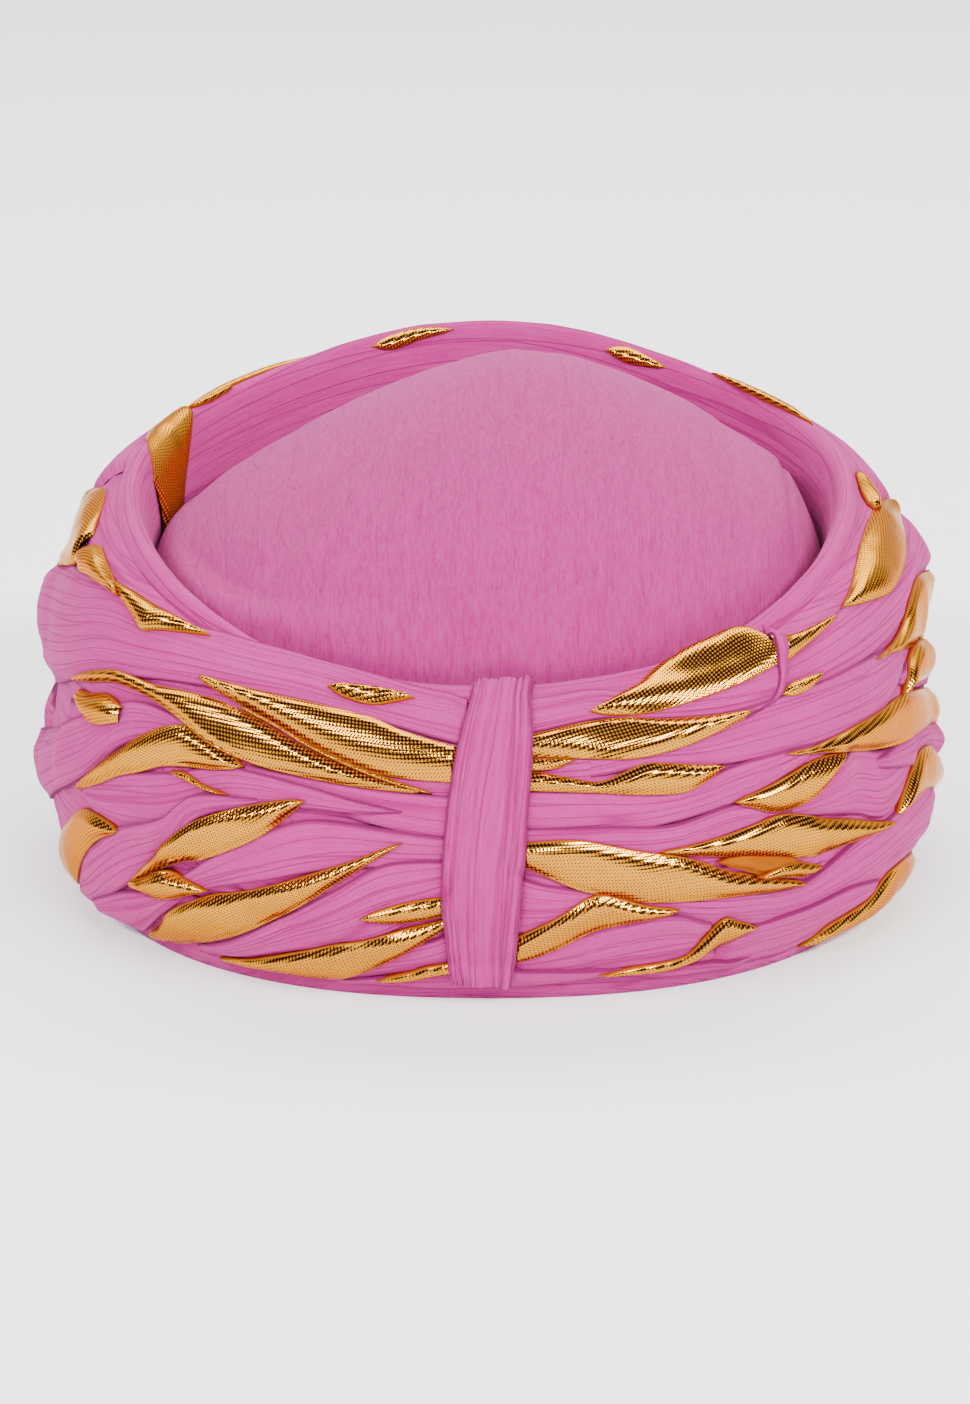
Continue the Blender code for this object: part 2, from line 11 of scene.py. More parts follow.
import bmesh
import bpy
import numpy as np
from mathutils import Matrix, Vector


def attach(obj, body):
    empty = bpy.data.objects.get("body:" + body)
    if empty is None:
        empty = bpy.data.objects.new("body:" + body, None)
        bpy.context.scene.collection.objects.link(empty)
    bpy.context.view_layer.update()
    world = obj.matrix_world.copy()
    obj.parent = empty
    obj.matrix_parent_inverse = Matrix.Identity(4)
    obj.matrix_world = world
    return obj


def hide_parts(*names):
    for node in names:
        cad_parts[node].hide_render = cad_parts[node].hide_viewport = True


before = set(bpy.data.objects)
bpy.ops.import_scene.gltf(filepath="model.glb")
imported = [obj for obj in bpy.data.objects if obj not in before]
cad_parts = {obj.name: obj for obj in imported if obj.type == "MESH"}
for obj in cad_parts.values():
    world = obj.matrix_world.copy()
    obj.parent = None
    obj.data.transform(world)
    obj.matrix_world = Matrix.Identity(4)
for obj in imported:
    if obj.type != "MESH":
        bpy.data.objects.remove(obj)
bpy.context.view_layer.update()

MM = 0.001

# The band's form, the same values as the solid model's
HALF_WIDTH = 0.1185
HALF_FRONT = 0.1236
HALF_BACK = 0.1308
# How square the outline is: 2 is an ellipse
SQUARE_FRONT = 2.3
SQUARE_BACK = 1.95
# The rim's mean height, then its waves of one to four a turn
RIM_MEAN = 0.1030
RIM_WAVES = (-0.0196, -0.0027, -0.0026, 0.0008)
CENTRING = np.array((0.0, -0.0021, 0.0))
BAND_SECTION = (  # inset from the widest outline, share of the rim's height
    (0.0086, 0.000), (0.0039, 0.150), (0.0010, 0.300), (0.0000, 0.458), (0.0012, 0.675),
    (0.0038, 0.795), (0.0076, 0.889), (0.0126, 0.956), (0.0188, 0.993), (0.0242, 1.000),
    (0.0268, 0.982), (0.0281, 0.940), (0.0286, 0.860), (0.0288, 0.720), (0.0288, 0.500))
# Which of those points is the rim's, and the steps from each point to the next
RIM_BEND = 9
BEND_STEPS = 12
# The wound cloth starts this far inside the form, and less and less past the rim
WINDING_DEPTH = 0.0048
FREE_FROM_SHARE = 0.95
FREE_TO_SHARE = 1.20
# How far the band stands out low at its sides
LOW_FULLNESS = 5.0 * MM

# Tables that the section is read from
RIM_HEIGHTS = np.linspace(0.070, 0.130, 61)
TABLE_SHARES = np.arange(-0.02, 1.60, 0.005)

# The map of how high the wound cloth lies: its cells in degrees and shares
TURN_CELL = 0.25
SHARE_CELL = 0.005
TURNS = int(360 / TURN_CELL)
MAP_SHARES = np.arange(0.0, 1.301, SHARE_CELL)

# Camera, set for the photograph's frame of 970 by 1404
CAMERA_DISTANCE = 1.10
CAMERA_ELEVATION = 18.0
CAMERA_TARGET = (-0.0009, -0.0021, 0.0412)
CAMERA_LENS = 104.9
CAMERA_SENSOR = 36.0


# Numbers and curves

def smooth(value):
    """An eased step from 0 to 1."""
    value = np.clip(value, 0.0, 1.0)
    return value * value * (3.0 - 2.0 * value)


def catmull(points, steps):
    """A smooth curve through the points, in steps from each to the next."""
    points = np.vstack([2 * points[0] - points[1], points, 2 * points[-1] - points[-2]])
    t = np.arange(steps)[:, None] / steps
    curve = []
    for k in range(1, len(points) - 2):
        a, b, c, d = points[k - 1:k + 3]
        curve.append(0.5 * (2 * b + (c - a) * t + (2 * a - 5 * b + 4 * c - d) * t ** 2
                            + (3 * b - a - 3 * c + d) * t ** 3))
    return np.vstack(curve + [points[-2:-1]])


def smooth_rows(rows, value):
    """The other columns of a table, read smoothly at values of its first column."""
    knots = np.array(sorted(rows), float)
    x, y = knots[:, 0], knots[:, 1:]
    value = np.clip(value, x[0], x[-1])
    slope = np.empty_like(y)
    slope[1:-1] = (y[2:] - y[:-2]) / (x[2:] - x[:-2])[:, None]
    slope[0] = (y[1] - y[0]) / (x[1] - x[0])
    slope[-1] = (y[-1] - y[-2]) / (x[-1] - x[-2])
    k = np.clip(np.searchsorted(x, value, side="right") - 1, 0, len(x) - 2)
    span = x[k + 1] - x[k]
    t = ((value - x[k]) / span)[..., None]
    span = span[..., None]
    found = ((2 * t ** 3 - 3 * t ** 2 + 1) * y[k] + (t ** 3 - 2 * t ** 2 + t) * span * slope[k]
             + (3 * t ** 2 - 2 * t ** 3) * y[k + 1] + (t ** 3 - t ** 2) * span * slope[k + 1])
    return np.moveaxis(found, -1, 0)


def waves(seed, *terms):
    """A smooth uneven value near -1 to 1: sines of each (coordinate, wavelength) term."""
    rng = np.random.default_rng(seed)
    total = 0.0
    for coordinate, length in terms:
        for octave in (1.0, 1.83, 3.1):
            turn, shift = rng.uniform(0.8, 1.2), rng.uniform(0, math.tau)
            total = total + np.sin(math.tau * coordinate * turn * octave / length + shift) / octave
    return total / (1.9 * len(terms))


def crossed(rows, columns):
    """Two runs of values as grids: the first changes by row and the second by column."""
    return np.meshgrid(rows, columns, indexing="ij")


def sampled(grid, row, column):
    """The grid's value between its cells."""
    row = np.clip(row, 0, grid.shape[0] - 1.001)
    column = np.clip(column, 0, grid.shape[1] - 1.001)
    i, j = row.astype(int), column.astype(int)
    s, t = row - i, column - j
    return ((grid[i, j] * (1 - t) + grid[i, j + 1] * t) * (1 - s)
            + (grid[i + 1, j] * (1 - t) + grid[i + 1, j + 1] * t) * s)


# The band's surface

def rim_height(angle):
    turn = np.radians(angle)
    return RIM_MEAN + sum(wave * np.cos((k + 1) * turn) for k, wave in enumerate(RIM_WAVES))


def section_table():
    """Inset, height and outward normal over rim heights and shares, and arc lengths."""
    curve = catmull(np.array(BAND_SECTION), BEND_STEPS)
    table, lengths = [], []
    for rim in RIM_HEIGHTS:
        points = curve * (1.0, rim)
        run = np.concatenate([[0.0], np.cumsum(np.hypot(*np.diff(points, axis=0).T))])
        whole = run[RIM_BEND * BEND_STEPS]
        inset = np.interp(TABLE_SHARES, run / whole, points[:, 0])
        height = np.interp(TABLE_SHARES, run / whole, points[:, 1])
        rise, inwards = np.gradient(height), np.gradient(inset)
        size = np.hypot(rise, inwards) + 1e-12
        table.append((inset, height, rise / size, inwards / size))
        lengths.append(whole)
    return np.array(table), np.array(lengths)


SECTION, SECTION_LENGTHS = section_table()


def section_length(angle):
    """Distance up the section from foot to rim, which is a share of 1."""
    return np.interp(rim_height(angle), RIM_HEIGHTS, SECTION_LENGTHS)


def section_at(angle, share):
    """Inset, height and outward normal of the band's section."""
    row = (rim_height(angle) - RIM_HEIGHTS[0]) / (RIM_HEIGHTS[1] - RIM_HEIGHTS[0])
    column = (share - TABLE_SHARES[0]) / (TABLE_SHARES[1] - TABLE_SHARES[0])
    return [sampled(layer, row, column) for layer in np.moveaxis(SECTION, 1, 0)]


def plan_point(angle, inset):
    """A point of the outline seen from above, some way inside the widest one."""
    turn = np.radians(angle)
    across, along = np.sin(turn), np.cos(turn)
    square = np.where(along > 0, SQUARE_FRONT, SQUARE_BACK)
    reach = np.where(along > 0, HALF_FRONT, HALF_BACK)
    x = (HALF_WIDTH - inset) * np.sign(across) * np.abs(across) ** (2 / square)
    y = (inset - reach) * np.sign(along) * np.abs(along) ** (2 / square)
    return x, y


def band(angle, share, lift):
    """Points on the band, lifted off the padded core by the cloth below them."""
    inset, height, out, up = section_at(angle, share)
    depth = WINDING_DEPTH * (1.0 - smooth((share - FREE_FROM_SHARE)
                                          / (FREE_TO_SHARE - FREE_FROM_SHARE)))
    full = smooth((np.abs(np.sin(np.radians(angle))) - 0.60) / 0.34)
    lift = lift + LOW_FULLNESS * full * smooth(share / 0.07) * (
        1.0 - smooth((share - 0.18) / 0.34))
    x, y = plan_point(angle, inset - (lift - depth) * out)
    z = np.maximum(height + (lift - depth) * up, 0.0)
    return np.stack([x, y, z], -1) + CENTRING


# Height of the wound cloth

class Winding:
    """Maps of the band: how high the wound cloth lies and how near a gold leaf is."""

    def __init__(self):
        self.top = np.zeros((TURNS, len(MAP_SHARES)))
        self.gold_near = np.zeros((TURNS, len(MAP_SHARES)))


def map_columns(start, end, margin):
    """The map's columns from one angle to another, past a whole turn too."""
    first = math.floor((start - margin) / TURN_CELL)
    last = math.ceil((end + margin) / TURN_CELL)
    return np.arange(first, last + 1)


def shifted(grid, i, j):
    padded = np.pad(grid, ((abs(i), abs(i)), (abs(j), abs(j))), mode="edge")
    return padded[abs(i) + i:abs(i) + i + grid.shape[0], abs(j) + j:abs(j) + j + grid.shape[1]]


def widened(grid, cells=1):
    """The highest value within some cells of each cell."""
    for _ in range(cells):
        grid = np.maximum(grid, np.maximum(shifted(grid, 1, 0), shifted(grid, -1, 0)))
        grid = np.maximum(grid, np.maximum(shifted(grid, 0, 1), shifted(grid, 0, -1)))
    return grid


def blurred(grid, times):
    for _ in range(times):
        grid = (grid + shifted(grid, 1, 0) + shifted(grid, -1, 0)) / 3
        grid = (grid + shifted(grid, 0, 1) + shifted(grid, 0, -1)) / 3
    return grid


# Cloth kinds: how a strip of each stands over what is under it

# thick: how far the cloth stands; roll: radius of its edges; arch: how much fuller its
# middle is; along_step and across_step: the mesh's cell sizes
Kind = namedtuple("Kind", "thick roll arch along_step across_step")
PINK = Kind(1.0 * MM, 0.30 * MM, 0.35 * MM, 1.0 * MM, 0.5 * MM)
BACK_PINK = Kind(1.25 * MM, 0.6 * MM, 0.9 * MM, 2.2 * MM, 0.9 * MM)
STRAND = Kind(0.9 * MM, 0.5 * MM, 0.2 * MM, 0.8 * MM, 0.4 * MM)
GOLD = Kind(2.0 * MM, 0.0, 0.0, 0.9 * MM, 0.5 * MM)
REVERSE = Kind(1.6 * MM, 0.0, 0.0, 0.9 * MM, 0.5 * MM)
LEAVES = (GOLD, REVERSE)
# A pink strip's pleats: millimetres apart, and the part of that in which one rises
PLEAT_SPACING = 4.4
PLEAT_RISE = 0.90
SIDE_ARCH = 2.0 * MM
SUNK_BY_GOLD = 0.32


def own_height(kind, v, width, widest, u_mm, seed, near, ends, side):
    """Height of a strip's cloth over what is under it, at shares v across it.

    near: how near gold is, 0 to 1; ends: 0 at the strip's ends, 1 between them;
    side: 0 in front to 1 at the sides, where the pink strips are rounder.
    """
    inside = np.minimum(v, 1.0 - v) * width
    if kind in LEAVES:
        full = smooth(width / (8.0 * MM))
        crowned = 1.0 - np.abs(2.0 * v ** 1.2 - 1.0) ** 2.2
        waver = 1.0 + 0.08 * waves(seed, (u_mm, 26.0))
        return (0.45 * MM + kind.thick * crowned * (0.25 + 0.75 * full) * waver) * ends
    full = smooth(width / (4.0 * MM))
    edge = np.clip(inside / kind.roll, 0.0, 1.0)
    rolled = np.sqrt(1.0 - (1.0 - edge) ** 2)
    across = v * widest / MM
    folds = across / PLEAT_SPACING + 0.55 * waves(seed + 1, (across, 11.0)) + 0.12 * waves(
        seed + 2, (u_mm, 90.0))
    step = folds - np.floor(folds)
    pleats = (smooth(step / PLEAT_RISE) - smooth((step - PLEAT_RISE) / 0.10)) - 0.5
    strength = 0.09 + 0.05 * waves(seed + 3, (u_mm, 55.0), (across, 9.0))
    arch = kind.arch + SIDE_ARCH * side
    body = (kind.thick + arch * smooth(inside / (6.0 * MM))
            + 0.13 * MM * waves(seed + 4, (u_mm, 48.0), (across, 16.0)))
    sunk = 1.0 - SUNK_BY_GOLD * near
    return (body * rolled * full * sunk + pleats * strength * MM * smooth(inside / (1.3 * MM))
            * (1.0 - 0.5 * near)) * ends


# Meshes and materials

def grid_faces(rows, columns, closed):
    """Quads over a grid of points. closed: whether its last row meets its first."""
    i, j = np.meshgrid(np.arange(rows if closed else rows - 1), np.arange(columns - 1),
                       indexing="ij")
    a = i * columns + j
    b = ((i + 1) % rows) * columns + j
    return np.stack([a, b, b + 1, a + 1], -1).reshape(-1, 4)


def shares_across(count):
    """Shares 0 to 1 across a strip, closer at its edges, which come twice to be tucked in."""
    shares = 0.5 * (1.0 - np.cos(math.pi * np.arange(count + 1) / count))
    return np.concatenate([[0.0], shares, [1.0]])


def uv_around(angle, points):
    """A UV map by the way round the band and the way along each row of points."""
    steps = np.linalg.norm(np.diff(points, axis=1), axis=2)
    run = np.concatenate([np.zeros((len(points), 1)), np.cumsum(steps, axis=1)], 1)
    return np.stack([np.radians(angle)[:, None] * HALF_WIDTH + 0.0 * run, run], -1)


# Millimetres from a strip's edge, for its material: these at a tucked edge and far from any
TUCKED_EDGE = -1.5
FAR_FROM_EDGE = 9.0


def make_mesh(name, points, material, uv, edge=None, closed=False, flip=False):
    """An object from a grid of points, with a UV map and each point's edge value."""
    mesh = bpy.data.meshes.new(name)
    faces = grid_faces(*points.shape[:2], closed)
    if flip:
        faces = faces[:, ::-1]
    points = points.reshape(-1, 3)
    mesh.vertices.add(len(points))
    mesh.vertices.foreach_set("co", np.ascontiguousarray(points, np.float32).ravel())
    mesh.loops.add(faces.size)
    mesh.loops.foreach_set("vertex_index", np.ascontiguousarray(faces, np.int32).ravel())
    mesh.polygons.add(len(faces))
    mesh.polygons.foreach_set("loop_start", np.arange(0, faces.size, 4, dtype=np.int32))
    mesh.polygons.foreach_set("use_smooth", np.ones(len(faces), bool))
    layer = mesh.uv_layers.new(name="cloth")
    uv = uv.reshape(-1, 2)[faces.ravel()]
    layer.data.foreach_set("uv", np.ascontiguousarray(uv, np.float32).ravel())
    if edge is None:
        edge = np.full(len(points), FAR_FROM_EDGE)
    attribute = mesh.attributes.new("edge", "FLOAT", "POINT")
    attribute.data.foreach_set("value", np.ascontiguousarray(edge, np.float32).ravel())
    mesh.update(calc_edges=True)
    mesh.validate()
    piece = bpy.data.objects.new(name, mesh)
    piece.data.materials.append(material)
    bpy.context.scene.collection.objects.link(piece)
    return piece


class Nodes:
    """Shorthand for building a material's nodes."""

    def __init__(self, name):
        self.material = bpy.data.materials.new(name)
        self.material.use_nodes = True
        self.tree = self.material.node_tree
        self.shader = self.tree.nodes["Principled BSDF"]

    def add(self, kind, inputs=None, **settings):
        node = self.tree.nodes.new("ShaderNode" + kind)
        for key, value in settings.items():
            setattr(node, key, value)
        for key, value in (inputs or {}).items():
            self.set(node.inputs[key], value)
        return node

    def set(self, socket, value):
        if isinstance(value, bpy.types.NodeSocket):
            self.tree.links.new(value, socket)
        else:
            socket.default_value = value

    def shade(self, values):
        """Sets the shader's inputs."""
        for key, value in values.items():
            self.set(self.shader.inputs[key], value)

    def math(self, operation, *values):
        node = self.add("Math", operation=operation)
        for socket, value in zip(node.inputs, values):
            self.set(socket, value)
        return node.outputs[0]

    def noise(self, vector, scale, detail, roughness):
        return self.add("TexNoise", {"Vector": vector, "Scale": scale, "Detail": detail,
                                     "Roughness": roughness}).outputs["Fac"]

    def stretched(self, vector, size):
        return self.add("Mapping", {"Vector": vector, "Scale": size}).outputs["Vector"]

    def ramp(self, value, *stops):
        node = self.add("ValToRGB", {"Fac": value})
        while len(node.color_ramp.elements) < len(stops):
            node.color_ramp.elements.new(0.5)
        for element, (place, colour) in zip(node.color_ramp.elements, stops):
            element.position = place
            element.color = (*colour, 1.0) if isinstance(colour, tuple) else (colour,) * 3 + (1.0,)
        return node.outputs["Color"]

    def blend(self, factor, one, two):
        node = self.add("Mix", data_type="RGBA")
        self.set(node.inputs[0], factor)
        for socket, value in ((node.inputs[6], one), (node.inputs[7], two)):
            self.set(socket, (*value, 1.0) if isinstance(value, tuple) else value)
        return node.outputs[2]

    def bump(self, height, distance, strength=1.0, normal=None):
        inputs = {"Height": height, "Distance": distance, "Strength": strength}
        if normal is not None:
            inputs["Normal"] = normal
        return self.add("Bump", inputs).outputs["Normal"]


# How many creases, threads and streaks there are to a metre, on each axis
STRIP_SCALES = ((7.0, 300.0, 1.0), (60.0, 1500.0, 1.0), (10.0, 330.0, 1.0))
CROWN_SCALES = ((150.0, 26.0, 20.0), (1700.0, 330.0, 260.0), (620.0, 80.0, 55.0))


def muslin(name, colour, shade_and_mottle, on_strip):
    """Sheer pink cloth, with shade painted into its pleat grooves, and on a strip into its creases
    and along its edges. on_strip: whether its creases run along a strip or down the crown.
    """
    made = Nodes(name)
    solid = made.add("TexCoord").outputs["Object"]
    light = tuple(0.04 + part for part in colour)
    flat = made.add("UVMap", uv_map="cloth").outputs["UV"] if on_strip else solid
    cells, fine, soft = (made.stretched(flat, scale)
                         for scale in (STRIP_SCALES if on_strip else CROWN_SCALES))
    fine = made.noise(fine, 1.0, 2.0, 0.5)
    soft = made.noise(soft, 1.0, 3.0, 0.55 if on_strip else 0.6)
    crease = made.add("TexVoronoi", {"Vector": cells, "Scale": 1.0},
                      feature="DISTANCE_TO_EDGE").outputs["Distance"]
    crease = made.ramp(crease, (0.0, 0.0), (0.045 if on_strip else 0.03, 1.0))
    crepe = made.noise(solid, 1300.0, 2.0, 0.65)
    cloudy = made.noise(solid, 26.0, 2.0, 0.5)
    # Painted shade: the darker colour fills the pleat grooves, where the soft noise that bumps them
    # is low
    base = made.blend(made.ramp(soft, (0.30, 0.0), (0.55, 1.0)), shade_and_mottle, colour)
    base = made.blend(made.math("MULTIPLY", cloudy, 0.22), base, shade_and_mottle)
    base = made.blend(made.ramp(crepe, (0.40, 0.0), (0.66, 0.26)), base, light)
    base = made.blend(made.ramp(fine, (0.40, 0.0), (0.64, 0.42)), base, light)
    if on_strip:
        # Painted shade: darker in the creases that the crease bump sinks
        base = made.blend(crease, tuple(0.80 * part for part in shade_and_mottle), base)
        # Painted shade: a dark line along the strip's edges and its tucked ends, where it meets the
        # cloth under it
        edge_shade_mm = made.add("Attribute", attribute_name="edge").outputs["Fac"]
        base = made.blend(made.ramp(made.math("MULTIPLY", edge_shade_mm, 0.5), (0.15, 0.0), (0.46, 1.0)),
                          tuple(0.50 * part for part in shade_and_mottle), base)
    normal = made.bump(crease, (0.18 if on_strip else 0.12) * MM, 0.8)
    normal = made.bump(soft, (0.13 if on_strip else 0.30) * MM, 0.5, normal)
    normal = made.bump(fine, 0.12 * MM, 0.5, normal)
    normal = made.bump(crepe, 0.15 * MM, 0.7, normal)
    made.shade({"Base Color": base, "Normal": normal, "Roughness": 0.90,
                "Specular IOR Level": 0.12, "Sheen Weight": 0.10, "Sheen Roughness": 0.6,
                "Sheen Tint": (1.0, 0.45, 0.75, 1.0)})
    return made.material


LAME_PITCH = 1.30 * MM
LAME_TURN = 32
BRIGHT_GOLD = (0.64, 0.278, 0.016)
THREAD_GOLD = (0.33, 0.136, 0.024)
GAP_BETWEEN_DOTS = (0.11, 0.024, 0.008)
TURNED_IN_ORANGE = (0.28, 0.068, 0.001)
TUCK_SHADE_RED = (0.24, 0.010, 0.004)


def lame(name):
    """Woven gold: a staggered mesh of tiny lit dots, with orange turned edges and painted shade on
    its tucked edges.
    """
    made = Nodes(name)
    flat = made.add("UVMap", uv_map="cloth").outputs["UV"]
    turned = made.add("Mapping", {"Vector": flat, "Rotation": (0.0, 0.0, math.radians(LAME_TURN))})
    parts = made.add("SeparateXYZ", {"Vector": turned.outputs["Vector"]})
    rate = math.tau / LAME_PITCH
    wave_a = made.math("SINE", made.math("MULTIPLY", parts.outputs["X"], rate))
    wave_b = made.math("SINE", made.math("MULTIPLY", parts.outputs["Y"], rate))
    dots = made.math("MULTIPLY", wave_a, wave_b)
    wrinkles = made.noise(made.stretched(flat, (55.0, 120.0, 1.0)), 1.0, 2.0, 0.5)
    edge = made.add("Attribute", attribute_name="edge").outputs["Fac"]
    weave = made.math("ADD", made.math("MULTIPLY", dots, 0.5), 0.5)
    thread = made.ramp(weave, (0.64, 0.0), (0.82, 1.0))
    dotted = made.ramp(weave, (0.12, 0.0), (0.40, 1.0))
    gold = made.blend(dotted, GAP_BETWEEN_DOTS, BRIGHT_GOLD)
    gold = made.blend(thread, gold, THREAD_GOLD)
    turned_in = made.ramp(edge, (0.16, 1.0), (0.34, 0.0))
    # Painted shade: the tucked edges, where a leaf dives under the cloth, turn dark red
    tucked = made.ramp(made.math("ADD", edge, 1.0), (0.45, 1.0), (0.85, 0.0))
    base = made.blend(turned_in, gold, TURNED_IN_ORANGE)
    base = made.blend(tucked, base, TUCK_SHADE_RED)
    dull = made.math("MAXIMUM", made.math("MULTIPLY", turned_in, 0.8),
                     made.math("MULTIPLY", thread, 0.85))
    metallic = made.math("SUBTRACT", 1.0, dull)
    rough = made.math("ADD", 0.14, made.math("MULTIPLY", turned_in, 0.4))
    normal = made.bump(wrinkles, 0.35 * MM, 0.35)
    normal = made.bump(weave, 0.05 * MM, 1.0, normal)
    made.shade({"Base Color": base, "Metallic": metallic, "Roughness": rough, "Normal": normal,
                "Specular Tint": (0.78, 0.38, 0.05, 1.0), "Specular IOR Level": 0.15})
    return made.material


STRIP_CLOTH = muslin("pink_muslin", (0.355, 0.0100, 0.160), (0.325, 0.0072, 0.142), on_strip=True)
CROWN_CLOTH = muslin("crown_muslin", (0.30, 0.0070, 0.132), (0.25, 0.0030, 0.104), on_strip=False)
GOLD_CLOTH = lame("gold_lame")


def finish_piece(piece, node=None):
    """Declares what a piece rides on, and hides the solid that it stands for."""
    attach(piece, "root")
    if node:
        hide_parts(node)


# The strips in groups: a group's name and kind, then each strip's number (0 for one alone) and
# its rows of angle, low edge and high edge, the edges as shares. Each table is wound in its
# order, so a later strip lies over those before it.

